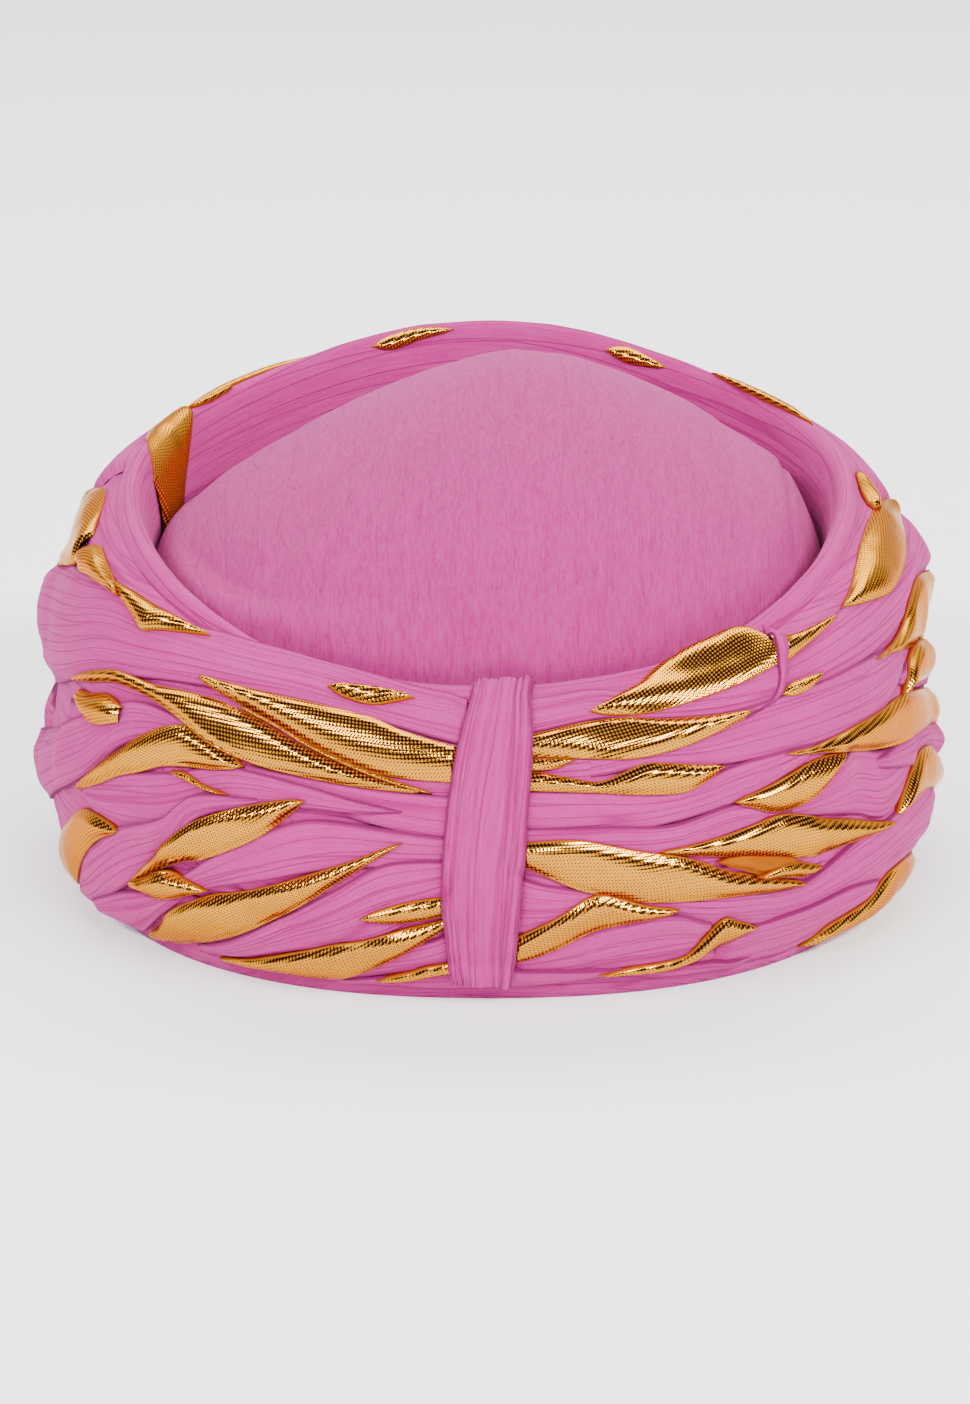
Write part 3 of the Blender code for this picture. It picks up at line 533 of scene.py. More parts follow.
UNDER_STRIPS = (
    ("left_under", PINK,
     (1, (-70, .34, .52), (-52, .38, .6), (-38, .36, .58), (-22, .36, .56)),
     (2, (-44, .36, .52), (-28, .28, .5), (-14, .18, .44), (-3, .12, .36)),
     (3, (-46, .1, .24), (-30, .05, .2), (-14, .03, .12))),
    ("right_under", PINK,
     (1, (3, .62, .74), (18, .6, .74), (34, .5, .66), (50, .42, .58)),
     (2, (3, .28, .44), (14, .22, .4), (30, .24, .36), (44, .28, .4))),
)
STRIPS = (
    ("back_pink", BACK_PINK,
     (1, (80, .52, .7), (140, .62, .84), (200, .73, .93), (264, .8, .97)),
     (2, (84, .24, .44), (150, .31, .53), (210, .37, .59), (272, .44, .62)),
     (3, (86, .03, .2), (180, .1, .32), (274, .2, .38)),
     (4, (92, .8, .97), (150, .76, .96), (210, .62, .84), (276, .52, .7)),
     (5, (88, .56, .72), (150, .46, .66), (210, .3, .51), (268, .2, .36)),
     (6, (90, .1, .28), (160, .04, .26), (220, .03, .22), (270, .03, .18))),
    ("left_pink", PINK,
     (1, (-2, .775, .97), (-13, .84, 1.0), (-23, .855, 1.02), (-39, .79, .98), (-50, .725, .93),
      (-60, .655, .9), (-70, .56, .83), (-82, .47, .76), (-101, .37, .62), (-122, .33, .5),
      (-140, .35, .39)),
     (2, (-37, .67, .69), (-45, .6, .69), (-50, .55, .665), (-60, .4, .56), (-70, .3, .46),
      (-82, .19, .36), (-101, .05, .22), (-116, .03, .08)),
     (3, (-2, .49, .625), (-12, .535, .635), (-20, .575, .64), (-30, .59, .635)),
     (4, (-8, .572, .578), (-13, .562, .598), (-20, .55, .62), (-30, .5, .62), (-40, .38, .55),
      (-50, .33, .48), (-60, .34, .385)),
     (5, (-26, .54, .56), (-35, .455, .525), (-40, .31, .44), (-50, .19, .345), (-60, .07, .215),
      (-68, .025, .11)),
     (6, (-2, .43, .51), (-14, .41, .53), (-20, .375, .52), (-26, .33, .46), (-32, .28, .38),
      (-38, .22, .29), (-45, .12, .2), (-52, .03, .16), (-62, .025, .08)),
     (7, (-2, .345, .45), (-10, .22, .43), (-16, .165, .34), (-24, .115, .22), (-32, .06, .12),
      (-40, .025, .05)),
     (8, (-2, .12, .24), (-10, .07, .15), (-18, .03, .06))),
    ("right_pink", PINK,
     (1, (1.5, .8, .95), (12, .845, .97), (20, .81, .93), (30, .77, .9), (40, .75, .88),
      (58, .72, .87), (76, .7, .83), (101, .62, .76), (125, .6, .7), (142, .63, .66)),
     (2, (10, .67, .73), (17, .68, .75), (25, .65, .76), (33, .63, .77), (45, .6, .75),
      (59, .57, .715), (69, .62, .67)),
     (3, (1.5, .49, .645), (10, .495, .63), (20, .515, .6), (28, .53, .635), (37, .565, .63),
      (43, .59, .61)),
     (4, (1.5, .43, .54), (12, .43, .53), (20, .43, .51), (28, .45, .53), (34, .46, .49)),
     (5, (38, .44, .47), (44, .41, .51), (50, .375, .535), (57, .325, .485), (64, .35, .45),
      (69, .39, .41)),
     (6, (14, .28, .33), (22, .21, .3), (30, .17, .27), (40, .135, .24), (50, .13, .3),
      (60, .17, .31), (70, .15, .32), (80, .1, .28), (95, .03, .14), (104, .03, .06)),
     (7, (1.5, .21, .4), (8, .26, .36), (13, .31, .335)),
     (8, (1.5, .06, .14), (8, .06, .2), (13, .08, .24), (20, .085, .26), (26, .11, .2)),
     (9, (28, .03, .14), (34, .03, .16), (42, .03, .17), (50, .09, .19), (58, .12, .165)),
     (10, (56, .45, .475), (66, .39, .455), (76, .34, .42), (88, .24, .35), (101, .14, .26),
      (118, .11, .15)),
     (11, (66, .58, .61), (75, .51, .6), (85, .44, .55), (101, .33, .46), (120, .27, .38),
      (138, .28, .32))),
    ("hem_strip", PINK,
     (0, (-24, .02, .04), (-12, .02, .055), (-4, .02, .1), (4, .03, .1), (12, .05, .09),
      (20, .03, .07), (34, .02, .05))),
    ("left_gold", GOLD,
     (1, (-2.5, .665, .77), (-9, .673, .815), (-13, .688, .847), (-20, .735, .86), (-28, .778, .85),
      (-39, .81, .822)),
     (3, (-28.5, .624, .634), (-33, .597, .668), (-38, .575, .684), (-42, .55, .656),
      (-46, .51, .605), (-50, .475, .545), (-55, .42, .475), (-62, .355, .363)),
     (2, (-6, .63, .642), (-13, .635, .682), (-20, .64, .72), (-28, .645, .768), (-34, .664, .779),
      (-40, .69, .765), (-46, .7, .737), (-54, .68, .712), (-60, .635, .665), (-67.5, .58, .59)),
     (4, (-51, .6, .64), (-56, .56, .635), (-61, .545, .6), (-66, .56, .575)),
     (5, (-19.5, .575, .583), (-22, .525, .572), (-25, .465, .552), (-30, .4, .51),
      (-35, .345, .455), (-38, .32, .405), (-42, .28, .335), (-46, .235, .262), (-49, .2, .208)),
     (6, (-8, .488, .496), (-12, .425, .452), (-15, .372, .42), (-20, .285, .368), (-25, .21, .318),
      (-30, .15, .273), (-34, .11, .245), (-38, .075, .205), (-42, .045, .16), (-46, .03, .09),
      (-50.5, .024, .033)),
     (7, (-2.5, .255, .285), (-4, .235, .27), (-8, .16, .238), (-12, .09, .2), (-16, .05, .168),
      (-20, .032, .138), (-25, .026, .1), (-30, .024, .062), (-36, .023, .032)),
     (8, (-50, .33, .342), (-56, .27, .34), (-61, .19, .315), (-66, .1, .25), (-72, .04, .18),
      (-80, .02, .1), (-88, .02, .035)),
     (9, (-41, .939, .946), (-44, .918, .944), (-47, .89, .941), (-50, .858, .935),
      (-52, .838, .928), (-55, .85, .918), (-58, .858, .909), (-61, .862, .895), (-64.5, .872, .88)),
     (10, (-60, .857, .865), (-63, .85, .877), (-66, .84, .882), (-69, .828, .884),
      (-72, .815, .888), (-75, .798, .884), (-78.5, .79, .835)),
     (11, (-79.5, .78, .87), (-85, .73, .91), (-91, .69, .91), (-98, .72, .84)),
     (12, (-118, .985, 1.02), (-115, .965, 1.06), (-112, .955, 1.11), (-109, .955, 1.17),
      (-106.5, .975, 1.24), (-103, 1.0, 1.27), (-99.5, 1.03, 1.28), (-96, 1.08, 1.27))),
    ("right_gold", GOLD,
     (1, (10.8, .867, .876), (14, .848, .912), (18, .836, .955), (22, .836, .994), (26, .84, 1.03),
      (29.5, .842, 1.07), (33, .843, 1.07), (35.5, .845, 1.06), (38, .848, 1.03), (40, .85, .985),
      (41.5, .86, .94)),
     (2, (40.6, .843, .94), (42.5, .845, .93), (46, .853, .905), (50, .859, .888),
      (54.5, .865, .871)),
     (3, (2.5, .735, .8), (5, .735, .815), (10, .722, .838), (15, .708, .836), (20, .712, .81),
      (25, .726, .79), (29, .738, .775), (33, .755, .762)),
     (4, (2.5, .644, .705), (7, .635, .68), (11, .624, .658), (14, .612, .678), (16.5, .603, .692),
      (20, .594, .68), (22, .596, .67), (24.5, .615, .658), (27, .638, .646)),
     (5, (28, .533, .543), (31, .507, .548), (34, .478, .555), (37, .465, .562), (41, .475, .569),
      (45, .508, .562), (48.5, .54, .548)),
     (6, (18, .437, .445), (22, .415, .446), (27, .39, .452), (32, .365, .46), (36, .345, .46),
      (40, .322, .437), (44, .308, .402), (50, .305, .362), (55, .298, .325), (60, .29, .297)),
     (7, (2.2, .435, .497), (5, .4, .503), (8.5, .358, .5), (12, .332, .478), (16, .306, .449),
      (20, .294, .426), (24, .284, .389), (28, .275, .346), (32, .263, .318), (36, .248, .286),
      (41.5, .233, .24)),
     (8, (1.8, .12, .2), (4, .14, .24), (6.5, .17, .285), (9, .205, .33), (11, .228, .342),
      (13.5, .24, .322), (16, .25, .3), (18, .258, .288), (20.8, .268, .275)),
     (9, (11.5, .068, .075), (16, .058, .087), (20, .055, .09), (23, .062, .1), (25, .075, .15),
      (27.5, .1, .21), (30, .128, .187), (33.5, .149, .157)),
     (10, (44.5, .012, .02), (47.5, .012, .08), (52, .012, .096), (57, .014, .115),
      (60.5, .02, .155), (65, .03, .158), (70, .035, .138), (76, .03, .105), (85, .026, .036)),
     (11, (36, .618, .626), (42, .585, .607), (48, .548, .598), (54, .508, .587), (60, .475, .574),
      (66, .448, .556), (72, .425, .523), (80, .385, .47), (88, .335, .41), (98, .28, .3)),
     (12, (58.5, .7, .71), (63, .685, .7), (67, .66, .695), (71, .635, .7), (75, .61, .72),
      (79, .59, .73), (83, .575, .72), (90, .57, .67), (98, .575, .6)),
     (13, (60.5, .3, .315), (66, .3, .37), (72, .29, .385), (80, .24, .33), (90, .16, .19)),
     (14, (56, .868, .876), (60, .842, .888), (64, .817, .91), (68, .797, .925), (72, .792, .935),
      (77, .792, .935), (82, .79, .925), (87, .785, .9), (93, .79, .85))),
    ("back_gold", GOLD,
     (1, (122, .59, .605), (150, .56, .64), (180, .57, .645), (206, .6, .615)),
     (2, (158, .385, .4), (190, .36, .44), (215, .37, .45), (240, .405, .42)),
     (3, (124, .2, .215), (150, .17, .25), (180, .19, .24), (200, .21, .225)),
     (4, (196, .775, .79), (220, .75, .82), (242, .775, .79))),
)
SLIVERS = (
    ("left_sliver", GOLD,
     (1, (-20, .925, .935), (-17, .905, .95), (-13, .895, .955), (-10, .92, .95), (-8, .935, .94)),
     (2, (-31, .782, .79), (-25, .758, .768), (-20, .724, .734), (-14, .686, .696),
      (-10, .66, .672), (-5, .628, .636)),
     (3, (-40, .55, .556), (-37, .548, .566), (-34, .545, .556), (-30, .548, .553)),
     (4, (-50, .19, .205), (-46, .185, .235), (-42, .195, .275), (-38, .225, .27),
      (-34.5, .25, .262)),
     (5, (-13, .262, .272), (-9, .258, .315), (-5.5, .272, .338), (-2.5, .29, .345)),
     (6, (-12, .04, .05), (-8, .05, .085), (-5.5, .07, .115), (-2.5, .09, .135))),
    ("right_sliver", GOLD,
     (1, (37.5, .765, .772), (40, .75, .785), (43, .748, .78), (46.5, .762, .768)),
     (2, (2.5, .7, .735), (6, .7, .73), (8.5, .72, .727))),
    ("right_reverse", REVERSE,
     (0, (26, .376, .386), (29.5, .345, .384), (32.5, .318, .369), (35.5, .312, .352),
      (38.8, .318, .33))),
    ("right_strand", STRAND,
     (0, (31.5, .744, .75), (35, .752, .762), (37.5, .764, .786), (39.2, .795, .84),
      (40.6, .835, .915), (42.2, .915, .985))),
    ("right_sliver", GOLD,
     (3, (31.5, .314, .324), (35, .298, .333), (38, .278, .326), (41, .262, .3), (44.3, .266, .273)),
     (4, (66.5, .55, .56), (70, .545, .605), (74, .528, .615), (78, .505, .6), (84, .47, .555),
      (90, .445, .47))),
    ("back_left_sliver", GOLD,
     (1, (-119, .985, .995), (-125, .968, .998), (-132, .962, .995), (-140, .955, .985),
      (-150, .945, .957)),
     (2, (-119, 1.002, 1.01), (-124, 1.0, 1.022), (-130, 1.002, 1.016)),
     (3, (-158, 1.035, 1.042), (-162, 1.022, 1.055), (-167, 1.018, 1.046), (-173.5, 1.028, 1.035))),
    ("back_right_sliver", GOLD,
     (1, (146, 1.04, 1.047), (150, 1.03, 1.056), (154, 1.024, 1.06), (158, 1.04, 1.048)),
     (2, (111.5, .988, .996), (117, .98, 1.012), (124, .985, 1.022), (131, .992, 1.022),
      (137.5, 1.004, 1.012)),
     (3, (84, .905, .925), (87, .895, .948), (90, .905, .96), (93.5, .955, .968))),
)


def numbered(groups):
    """Each strip's name, kind and rows."""
    for group, kind, *strips in groups:
        for number, *rows in strips:
            yield f"{group}_{number}" if number else group, kind, rows


# How far cloth beside a gold leaf is drawn in by it, and a degree's length there
NEAR_GOLD = 2.6 * MM
DEGREE_OUT = 2.0 * MM


def mark_gold(winding):
    """Where the gold leaves lie and how near it is to them, so that pink sinks there."""
    for _, kind, rows in numbered(STRIPS + SLIVERS):
        if kind not in LEAVES:
            continue
        start, end = min(row[0] for row in rows), max(row[0] for row in rows)
        columns = map_columns(start, end, 3.0)
        angle, share = crossed(columns * TURN_CELL, MAP_SHARES)
        low, high = smooth_rows(rows, angle)
        length = section_length(angle)
        outside = np.maximum(low - share, share - high)
        beyond = np.maximum(start - angle, angle - end) * DEGREE_OUT
        gap = np.maximum(outside * length, beyond)
        full = smooth((high - low) * length / (6.0 * MM))
        near = (1.0 - smooth(gap / NEAR_GOLD)) * (0.35 + 0.65 * full)
        rows_at = columns % TURNS
        winding.gold_near[rows_at] = np.maximum(winding.gold_near[rows_at], near)


# A leaf's end narrower than this share comes to a point, over this many millimetres
POINTED = 0.022
POINT_LENGTH = 2.5
# How far a strip's edges go into the cloth under them
TUCK = 0.3 * MM


class Strip:
    """A strip's course on the band, and the maps of what is there before it is laid."""

    def __init__(self, kind, rows, winding, seed):
        self.kind, self.rows, self.seed = kind, rows, seed
        self.start, self.end = min(row[0] for row in rows), max(row[0] for row in rows)
        self.coarse = np.linspace(self.start, self.end, 60)
        low, high = smooth_rows(rows, self.coarse)
        middle = band(self.coarse, (low + high) / 2, 0.0)
        steps = np.linalg.norm(np.diff(middle, axis=0), axis=1)
        self.run = np.concatenate([[0.0], np.cumsum(steps)])
        self.length = self.run[-1]
        self.widest = np.max((high - low) * section_length(self.coarse))
        self.columns = map_columns(self.start, self.end, 6.0)
        self.ground = winding.top[self.columns % TURNS]
        self.gold_near = winding.gold_near[self.columns % TURNS]
        self.close = blurred(widened(self.ground), 8 if kind in LEAVES else 4)
        self.taut = blurred(widened(self.ground, 3), 30)

    def run_at(self, angle):
        return np.interp(angle, self.coarse, self.run)

    def cell(self, angle, share):
        return angle / TURN_CELL - self.columns[0], share / SHARE_CELL

    def edges(self, angle):
        """The low and high edges, drawn to a point at an end that shows."""
        low, high = smooth_rows(self.rows, angle)
        if self.kind in LEAVES:
            u_mm = self.run_at(angle) / MM
            for beyond, (_, end_low, end_high) in (
                    (u_mm, min(self.rows)), (self.length / MM - u_mm, max(self.rows))):
                if end_high - end_low < POINTED:
                    point = np.clip(beyond / POINT_LENGTH, 0.0, 1.0) ** 0.8
                    middle = (low + high) / 2
                    low, high = middle + (low - middle) * point, middle + (high - middle) * point
        return low, high

    def top(self, angle, v, low, high):
        """Height of its surface over the band: close to what is under its edges, and taut
        over it between them."""
        width = (high - low) * section_length(angle)
        u_mm = self.run_at(angle) / MM
        row, column = self.cell(angle, low + v * (high - low))
        leaf = self.kind in LEAVES
        ends = smooth(np.minimum(u_mm, self.length / MM - u_mm) / (1.5 if leaf else 5.0) + 0.05)
        if leaf:
            ends = np.maximum(ends, 0.35)
        side = smooth((np.abs(angle) - 58.0) / 28.0) if self.kind is PINK else 0.0
        own = own_height(self.kind, v, width, self.widest, u_mm, self.seed,
                         sampled(self.gold_near, row, column), ends, side)
        firm = smooth(np.minimum(v, 1.0 - v) * width / (2.6 * MM))
        under = (sampled(self.close, row, column) * (1 - firm)
                 + sampled(self.taut, row, column) * firm)
        return under + own

    def raise_map(self, winding):
        """Adds the strip to the map of how high the cloth lies."""
        angle, share = crossed(self.columns * TURN_CELL, MAP_SHARES)
        low, high = self.edges(angle)
        v = (share - low) / np.maximum(high - low, 1e-6)
        covers = (angle >= self.start) & (angle <= self.end) & (v > 0.0) & (v < 1.0)
        top = self.top(angle, np.clip(v, 0.0, 1.0), low, high)
        winding.top[self.columns % TURNS] = np.where(covers, top, self.ground)


def wind_strip(name, kind, rows, winding, seed, node=None):
    """Lays a strip over the cloth that is there, builds its mesh and raises the map."""
    strip = Strip(kind, rows, winding, seed)
    n_along = max(12, math.ceil(strip.length / kind.along_step))
    along = np.interp(np.linspace(0, strip.length, n_along + 1), strip.run, strip.coarse)
    n_across = max(8, math.ceil(1.35 * strip.widest / kind.across_step))
    angle, v = crossed(along, shares_across(n_across))
    low, high = strip.edges(angle)
    share = low + v * (high - low)
    lift = strip.top(angle, v, low, high)
    ground = sampled(strip.ground, *strip.cell(angle, share))
    lift[:, (0, -1)] = ground[:, (0, -1)] - TUCK

    width = (high - low) * section_length(angle)
    spread = width if kind in LEAVES else strip.widest
    uv = np.stack([strip.run_at(angle) + 0.37 * seed, (v - 0.5) * spread], -1)
    edge = np.minimum(v, 1.0 - v) * width / MM
    if kind is REVERSE:
        edge = 0.0 * edge
    edge[:, (0, -1)] = TUCKED_EDGE
    piece = make_mesh(name + "_cloth", band(angle, share, lift),
                      GOLD_CLOTH if kind in LEAVES else STRIP_CLOTH, uv, edge)
    finish_piece(piece, node)
    strip.raise_map(winding)


# The padded ring: its grid, where its pleated cloth ends inside the rim, and its plain inside
CORE_COLUMNS, CORE_ROWS, CORE_INNER_ROWS = 400, 76, 14
CORE_TO_SHARE = 1.13
CORE_PLEATS = 20
INNER_WALL_INSET = 0.0288
INNER_WALL_TOP = 0.078
FOOT_INSETS = (0.0234, 0.0140)


def make_core():
    """The pleated cloth under all the strips, over the whole padded ring and its flat foot."""
    around = np.linspace(-180, 180, CORE_COLUMNS, endpoint=False)
    angle, share = crossed(around, np.linspace(0.0, CORE_TO_SHARE, CORE_ROWS))
    pleat = 0.25 * MM * np.sin(math.tau * share * CORE_PLEATS + 1.5 * waves(5, (angle, 120.0)))
    outside = band(angle, share, pleat - 0.2 * MM)
    angle, down = crossed(around, np.linspace(0.78, 0.0, CORE_INNER_ROWS))
    x, y = plan_point(angle, INNER_WALL_INSET)
    shoulder = np.minimum(INNER_WALL_TOP, 0.9 * rim_height(angle))
    inside = np.stack([x, y, shoulder * down], -1) + CENTRING
    x, y = plan_point(*crossed(around, FOOT_INSETS))
    foot = np.stack([x, y, 0.0 * x], -1) + CENTRING
    points = np.concatenate([outside, inside, foot, outside[:, :1]], 1)
    piece = make_mesh("padded_core_cloth", points, STRIP_CLOTH, uv_around(around, points),
                      closed=True)
    clean = bmesh.new()
    clean.from_mesh(piece.data)
    bmesh.ops.remove_doubles(clean, verts=clean.verts, dist=0.00001)
    clean.to_mesh(piece.data)
    clean.free()
    finish_piece(piece, "padded_core")


# Crown

CROWN_COLUMNS, CROWN_ROWS, SKIRT_ROWS = 380, 110, 18
CROWN_INSET = 0.0296
SKIRT_FOOT = 0.002
CROWN_SHOULDER = 0.0780
CROWN_APEX = 0.1318
CROWN_ROUND = 0.55
CROWN_LEAN = 0.12
CROWN_WALL = 0.0020
# The right-hand crease beside the rim, and where the raised fold beside it starts
CREASE_X = 78.5
FOLD_FROM_X = 62.0
# How the crown's outline seen from in front leaves an even dome: x, then height, in mm
CROWN_DRAPE = ((-92, -84, -77, -66, -52, -40, -28, -16, 6, 20, 33, 50, 63, 72, 80, 90),
               (0, -2.5, -4.3, -6.0, -6.5, -5.5, -3.6, -1.6, 1.7, 1.2, 0, -1.6, -2.4, -0.6, 2.0, 0))


def crown_dome(angle, reach):
    x, y = plan_point(angle, CROWN_INSET)
    lean = 1.0 + CROWN_LEAN * reach * x / HALF_WIDTH
    rise = (CROWN_APEX - CROWN_SHOULDER) * lean * np.maximum(1.0 - reach ** 2, 0.0) ** CROWN_ROUND
    return np.stack([reach * x, reach * y, CROWN_SHOULDER + rise], -1)


def crown_lift(x_mm, y_mm):
    """Unevenness of the crown's cloth in millimetres: crinkles, a crease, a valley, a ridge."""
    soft = 0.5 * waves(31, (x_mm, 60.0), (y_mm, 75.0)) + 0.18 * waves(
        32, (x_mm + 0.4 * y_mm, 21.0), (y_mm, 46.0))
    crinkle = 0.05 * waves(33, (x_mm + 2.0 * np.sin(y_mm / 17.0), 5.2), (y_mm, 60.0))
    folds = (-1.0 * np.exp(-((x_mm - CREASE_X) / 1.1) ** 2)
             + 0.7 * smooth((CREASE_X - x_mm) / 1.5) * smooth((x_mm - FOLD_FROM_X) / 14.0))
    folds = folds * smooth((30.0 - y_mm) / 20.0)
    slant = (x_mm + 50.0) - 0.75 * (y_mm + 58.0)
    in_front = np.exp(-((y_mm + 60.0) / 24.0) ** 2)
    valley = -1.1 * np.exp(-(slant / 5.5) ** 2) * in_front
    ridge = 0.6 * np.exp(-((slant - 9.0) / 6.0) ** 2) * in_front
    return soft + crinkle + folds + valley + ridge


def make_crown():
    """The cap inside the rim and the upright skirt that lines the band."""
    around = np.linspace(-180, 180, CROWN_COLUMNS, endpoint=False)
    angle, slope = crossed(around, np.linspace(0.004, 1.0, CROWN_ROWS))
    reach = np.sin(slope * math.pi / 2)
    dome = crown_dome(angle, reach)
    x_mm, y_mm = dome[..., 0] / MM, dome[..., 1] / MM
    inside = 1.0 - reach
    dome[..., 2] += crown_lift(x_mm, y_mm) * MM * smooth(inside / 0.15 + 0.3)
    dome[..., 2] += np.interp(x_mm, *CROWN_DRAPE) * smooth(inside / 0.10) * MM
    angle, down = crossed(around, np.linspace(1.0, 0.0, SKIRT_ROWS)[1:])
    x, y = plan_point(angle, CROWN_INSET)
    z = SKIRT_FOOT + down * (CROWN_SHOULDER - SKIRT_FOOT)
    points = np.concatenate([dome, np.stack([x, y, z], -1)], 1) + CENTRING
    piece = make_mesh("crown_cloth", points, CROWN_CLOTH, uv_around(around, points),
                      closed=True, flip=True)
    clean = bmesh.new()
    clean.from_mesh(piece.data)
    clean.verts.ensure_lookup_table()
    peak = [clean.verts[k * points.shape[1]] for k in range(CROWN_COLUMNS)]
    bmesh.ops.pointmerge(clean, verts=peak, merge_co=sum(
        (vert.co for vert in peak), Vector()) / len(peak))
    clean.to_mesh(piece.data)
    clean.free()
    wall = piece.modifiers.new("cloth_wall", "SOLIDIFY")
    wall.thickness = CROWN_WALL
    wall.offset = -1.0
    finish_piece(piece, "crown")


# Rim

RIM_COLUMNS, RIM_ROWS = 560, 56
RIM_FROM, RIM_TO = 0.955, 1.42
# A share's length near the rim and the radius that its folds are spread on, in millimetres
SHARE_LENGTH = 110.0
FOLD_RADIUS = 130.0


def make_rim(winding):
    """The cloth rolled over the rim and down the inside of the band, in soft folds."""
    angle, share = crossed(np.linspace(0, 360, RIM_COLUMNS, endpoint=False),
                           np.linspace(RIM_FROM, RIM_TO, RIM_ROWS))
    under = blurred(widened(winding.top), 3)
    ground = sampled(under, angle / TURN_CELL, share / SHARE_CELL)
    down = share * SHARE_LENGTH
    x, y = (FOLD_RADIUS * part(np.radians(angle)) for part in (np.sin, np.cos))
    folds = 0.7 * waves(41, (x, 95.0), (y, 95.0), (down, 38.0)) + 0.28 * waves(
        42, (x + 0.8 * down, 36.0), (y, 40.0), (down, 24.0))
    swell = 1.6 * np.exp(-((share - 1.02) / 0.09) ** 2)
    over = smooth((share - RIM_FROM) / 0.05)
    lift = ground + (0.3 + (1.0 + swell + folds) * over) * MM
    lift[:, 0] = ground[:, 0] - 0.4 * MM
    uv = np.stack([np.radians(angle) * HALF_WIDTH, down * MM], -1)
    piece = make_mesh("rim_cloth", band(angle, share, lift), STRIP_CLOTH, uv, closed=True)
    finish_piece(piece, "rim_strip")

    angle, share = crossed(np.arange(TURNS) * TURN_CELL, MAP_SHARES)
    lift_map = sampled(np.concatenate([lift, lift[:1]]), angle / 360 * RIM_COLUMNS,
                       (share - RIM_FROM) / (RIM_TO - RIM_FROM) * (RIM_ROWS - 1))
    winding.top = np.where(share >= 0.96, lift_map, winding.top)


# Tab

TAB_ROWS, TAB_COLUMNS = 170, 100
TAB_FROM, TAB_TO = 0.055, 1.09
# Its pattern's width and a share's length on it in millimetres, and the band's radius there
TAB_ACROSS = 13.0
TAB_SHARE_LENGTH = 90.0
TAB_RADIUS = 0.120
# Share up the band, then the tab's left and right edges in degrees
TAB_EDGES = ((0.03, -3.2, 1.9), (0.20, -3.7, 2.3), (0.40, -4.0, 2.8), (0.60, -3.5, 3.35),
             (0.80, -2.5, 4.0), (0.95, -1.7, 4.3), (1.02, -1.4, 5.0), (1.10, -1.3, 5.8))
# Where a crease or a raised fold runs up the tab (mm across), how it wanders, depth and width
TAB_CREASES = ((0.9, 0.6, -0.45, 0.16), (1.7, 1.0, -0.55, 0.18), (2.3, 1.2, 0.25, 0.25),
               (2.9, 1.0, -0.50, 0.17), (3.7, 1.5, -0.35, 0.15), (4.6, 0.8, -0.55, 0.22),
               (6.3, 2.0, -0.22, 0.14), (7.6, 1.4, -0.25, 0.16), (8.9, 1.6, -0.75, 0.30),
               (10.4, 0.8, -0.65, 0.20), (11.3, 0.4, 0.60, 0.55), (12.2, 0.3, -0.45, 0.16))


def make_tab(winding):
    """The upright pleated tab over the crossing in front."""
    share, v = crossed(np.linspace(TAB_FROM, TAB_TO, TAB_ROWS), shares_across(TAB_COLUMNS))
    left, right = smooth_rows(TAB_EDGES, share)
    angle = left + v * (right - left)
    under = blurred(widened(winding.top, 2), 4)
    cell = (angle / TURN_CELL) % TURNS, share / SHARE_CELL
    ground = sampled(under, *cell)
    inside = np.minimum(v, 1 - v) * (right - left) * math.radians(1) * TAB_RADIUS
    up_mm = share * TAB_SHARE_LENGTH
    across = v * TAB_ACROSS
    rolled = np.sqrt(1 - (1 - np.clip(inside / (1.5 * MM), 0, 1)) ** 2)
    wander = 0.25 * waves(52, (up_mm, 70.0))
    creases = sum(depth * np.exp(-((across - at - sway * wander) / wide) ** 2)
                  for at, sway, depth, wide in TAB_CREASES)
    swell = 0.35 * np.sin(math.pi * np.clip((across - 4.4) / 4.6, 0.0, 1.0))
    lift = ground + (1.9 * rolled + (creases + swell) * smooth(inside / (0.6 * MM))
                     + 0.25 * waves(53, (up_mm, 40.0), (across, 9.0))) * MM
    lift[:, (0, -1)] = sampled(winding.top, *cell)[:, (0, -1)] - TUCK
    uv = np.stack([up_mm * MM, across * MM], -1)
    edge = inside / MM
    edge[:, (0, -1)] = TUCKED_EDGE
    piece = make_mesh("front_tab_cloth", band(angle, share, lift), STRIP_CLOTH, uv, edge,
                      flip=True)
    finish_piece(piece, "front_tab")


# Stage, lights and camera

def stage_plane(name, size, place, turn, colour, glow):
    bpy.ops.mesh.primitive_plane_add(size=1.0, location=place, rotation=turn)
    plane = bpy.context.object
    plane.name = name
    plane.scale = (*size, 1.0)
    made = Nodes(name)
    made.shade({"Base Color": (*colour, 1.0), "Roughness": 0.7,
                "Emission Color": (1.0, 1.0, 1.0, 1.0), "Emission Strength": glow})
    plane.data.materials.append(made.material)


def softbox(name, place, aim, size, power):
    light = bpy.data.lights.new(name, "AREA")
    light.shape = "RECTANGLE"
    light.size, light.size_y = size
    light.energy = power
    lamp = bpy.data.objects.new(name, light)
    lamp.location = place
    direction = Vector([there - here for here, there in zip(place, aim)])
    lamp.rotation_euler = direction.to_track_quat("-Z", "Y").to_euler()
    bpy.context.scene.collection.objects.link(lamp)


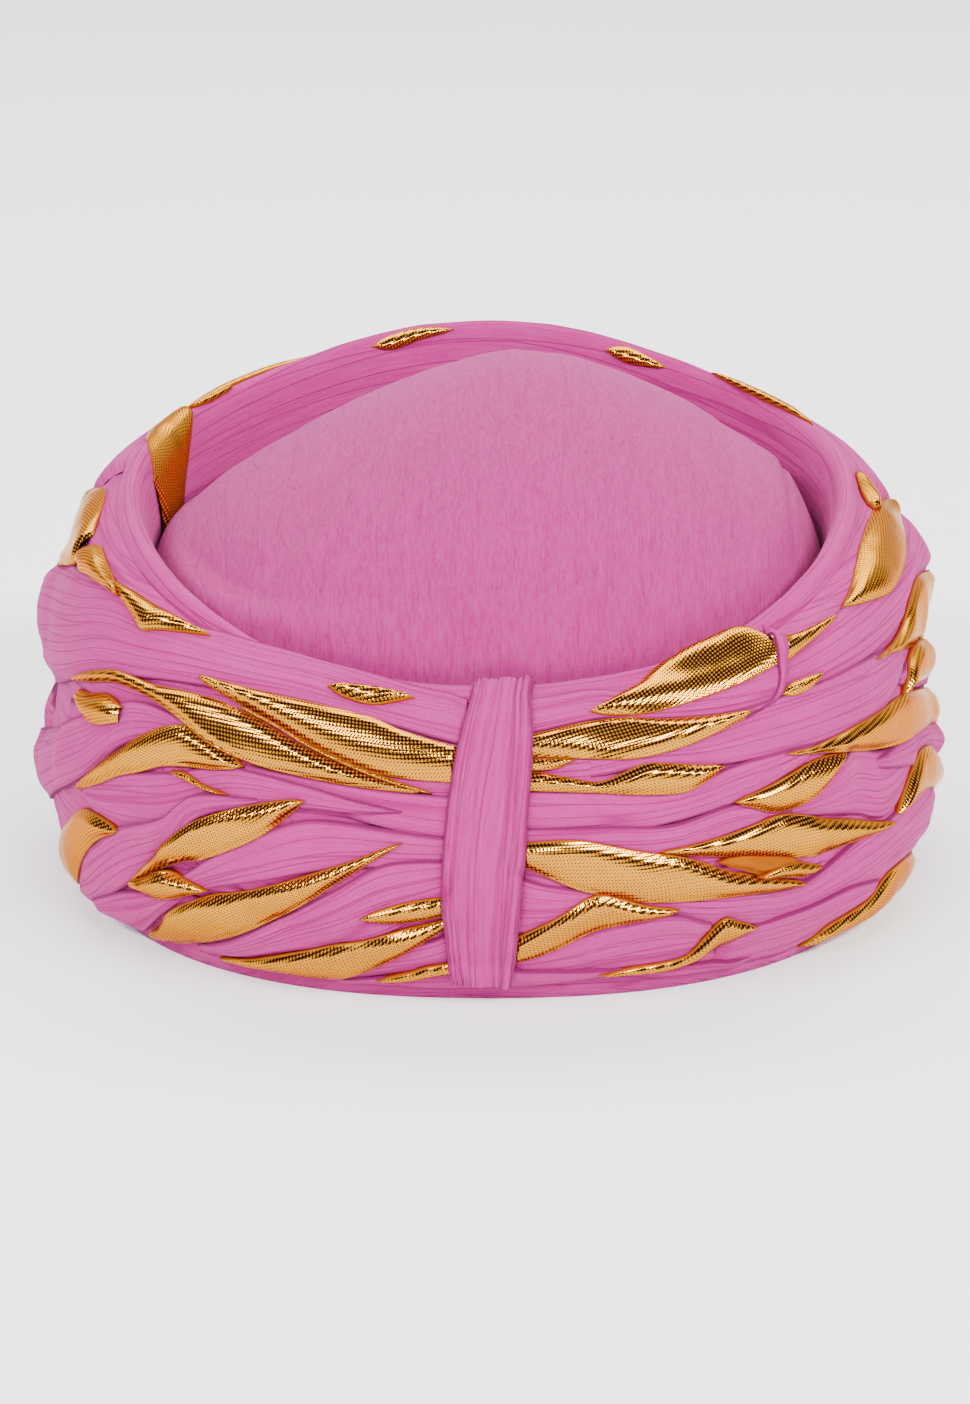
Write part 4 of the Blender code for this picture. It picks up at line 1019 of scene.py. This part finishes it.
def light_scene():
    """A pale floor and backdrop, three soft boxes and a dim sky that is lightest low down."""
    stage_plane("studio_floor", (8.0, 8.0), (0.0, 0.0, 0.0), (0.0, 0.0, 0.0),
                (0.92, 0.92, 0.92), 0.35)
    stage_plane("studio_backdrop", (8.0, 5.0), (0.0, 3.0, 2.0), (math.radians(90), 0.0, 0.0),
                (0.42, 0.42, 0.42), 1.0)
    middle = (0.0, 0.0, 0.05)
    softbox("left_box", (-1.22, -1.30, 1.40), middle, (1.9, 0.13), 75.0)
    softbox("right_box", (1.18, -1.36, 1.42), middle, (2.0, 0.16), 101.0)
    softbox("back_box", (0.0, 1.0, 1.7), (0.0, 0.3, 0.0), (2.6, 0.8), 68.0)
    world = bpy.data.worlds.new("studio")
    bpy.context.scene.world = world
    world.use_nodes = True
    tree = world.node_tree
    coordinate = tree.nodes.new("ShaderNodeTexCoord")
    parts = tree.nodes.new("ShaderNodeSeparateXYZ")
    tree.links.new(coordinate.outputs["Generated"], parts.inputs[0])
    ramp = tree.nodes.new("ShaderNodeValToRGB")
    tree.links.new(parts.outputs["Z"], ramp.inputs[0])
    ramp.color_ramp.elements[0].color = (0.45, 0.42, 0.45, 1.0)
    ramp.color_ramp.elements[1].position = 0.07
    ramp.color_ramp.elements[1].color = (0.09, 0.05, 0.10, 1.0)
    tree.links.new(ramp.outputs["Color"], tree.nodes["Background"].inputs["Color"])


def place_camera():
    data = bpy.data.cameras.new("photo_camera")
    data.lens = CAMERA_LENS
    data.sensor_width = CAMERA_SENSOR
    camera = bpy.data.objects.new("photo_camera", data)
    tilt = math.radians(CAMERA_ELEVATION)
    camera.location = (CAMERA_TARGET[0], CAMERA_TARGET[1] - CAMERA_DISTANCE * math.cos(tilt),
                       CAMERA_TARGET[2] + CAMERA_DISTANCE * math.sin(tilt))
    camera.rotation_euler = (math.radians(90.0) - tilt, 0.0, 0.0)
    bpy.context.scene.collection.objects.link(camera)
    bpy.context.scene.camera = camera


def wind_all(winding):
    """Winds the back, the rim, the front's under strips, its strips and the slivers."""
    for count, (name, kind, rows) in enumerate(numbered(STRIPS)):
        if name == "left_pink_1":
            make_rim(winding)
            for below, (under, cloth, sections) in enumerate(numbered(UNDER_STRIPS)):
                wind_strip(under, cloth, sections, winding, 900 + 10 * below)
        wind_strip(name, kind, rows, winding, 100 + 10 * count, name)
    for count, (name, kind, rows) in enumerate(numbered(SLIVERS)):
        wind_strip(name, kind, rows, winding, 1100 + 10 * count)


place_camera()
light_scene()
winding = Winding()
mark_gold(winding)
make_core()
wind_all(winding)
make_tab(winding)
make_crown()
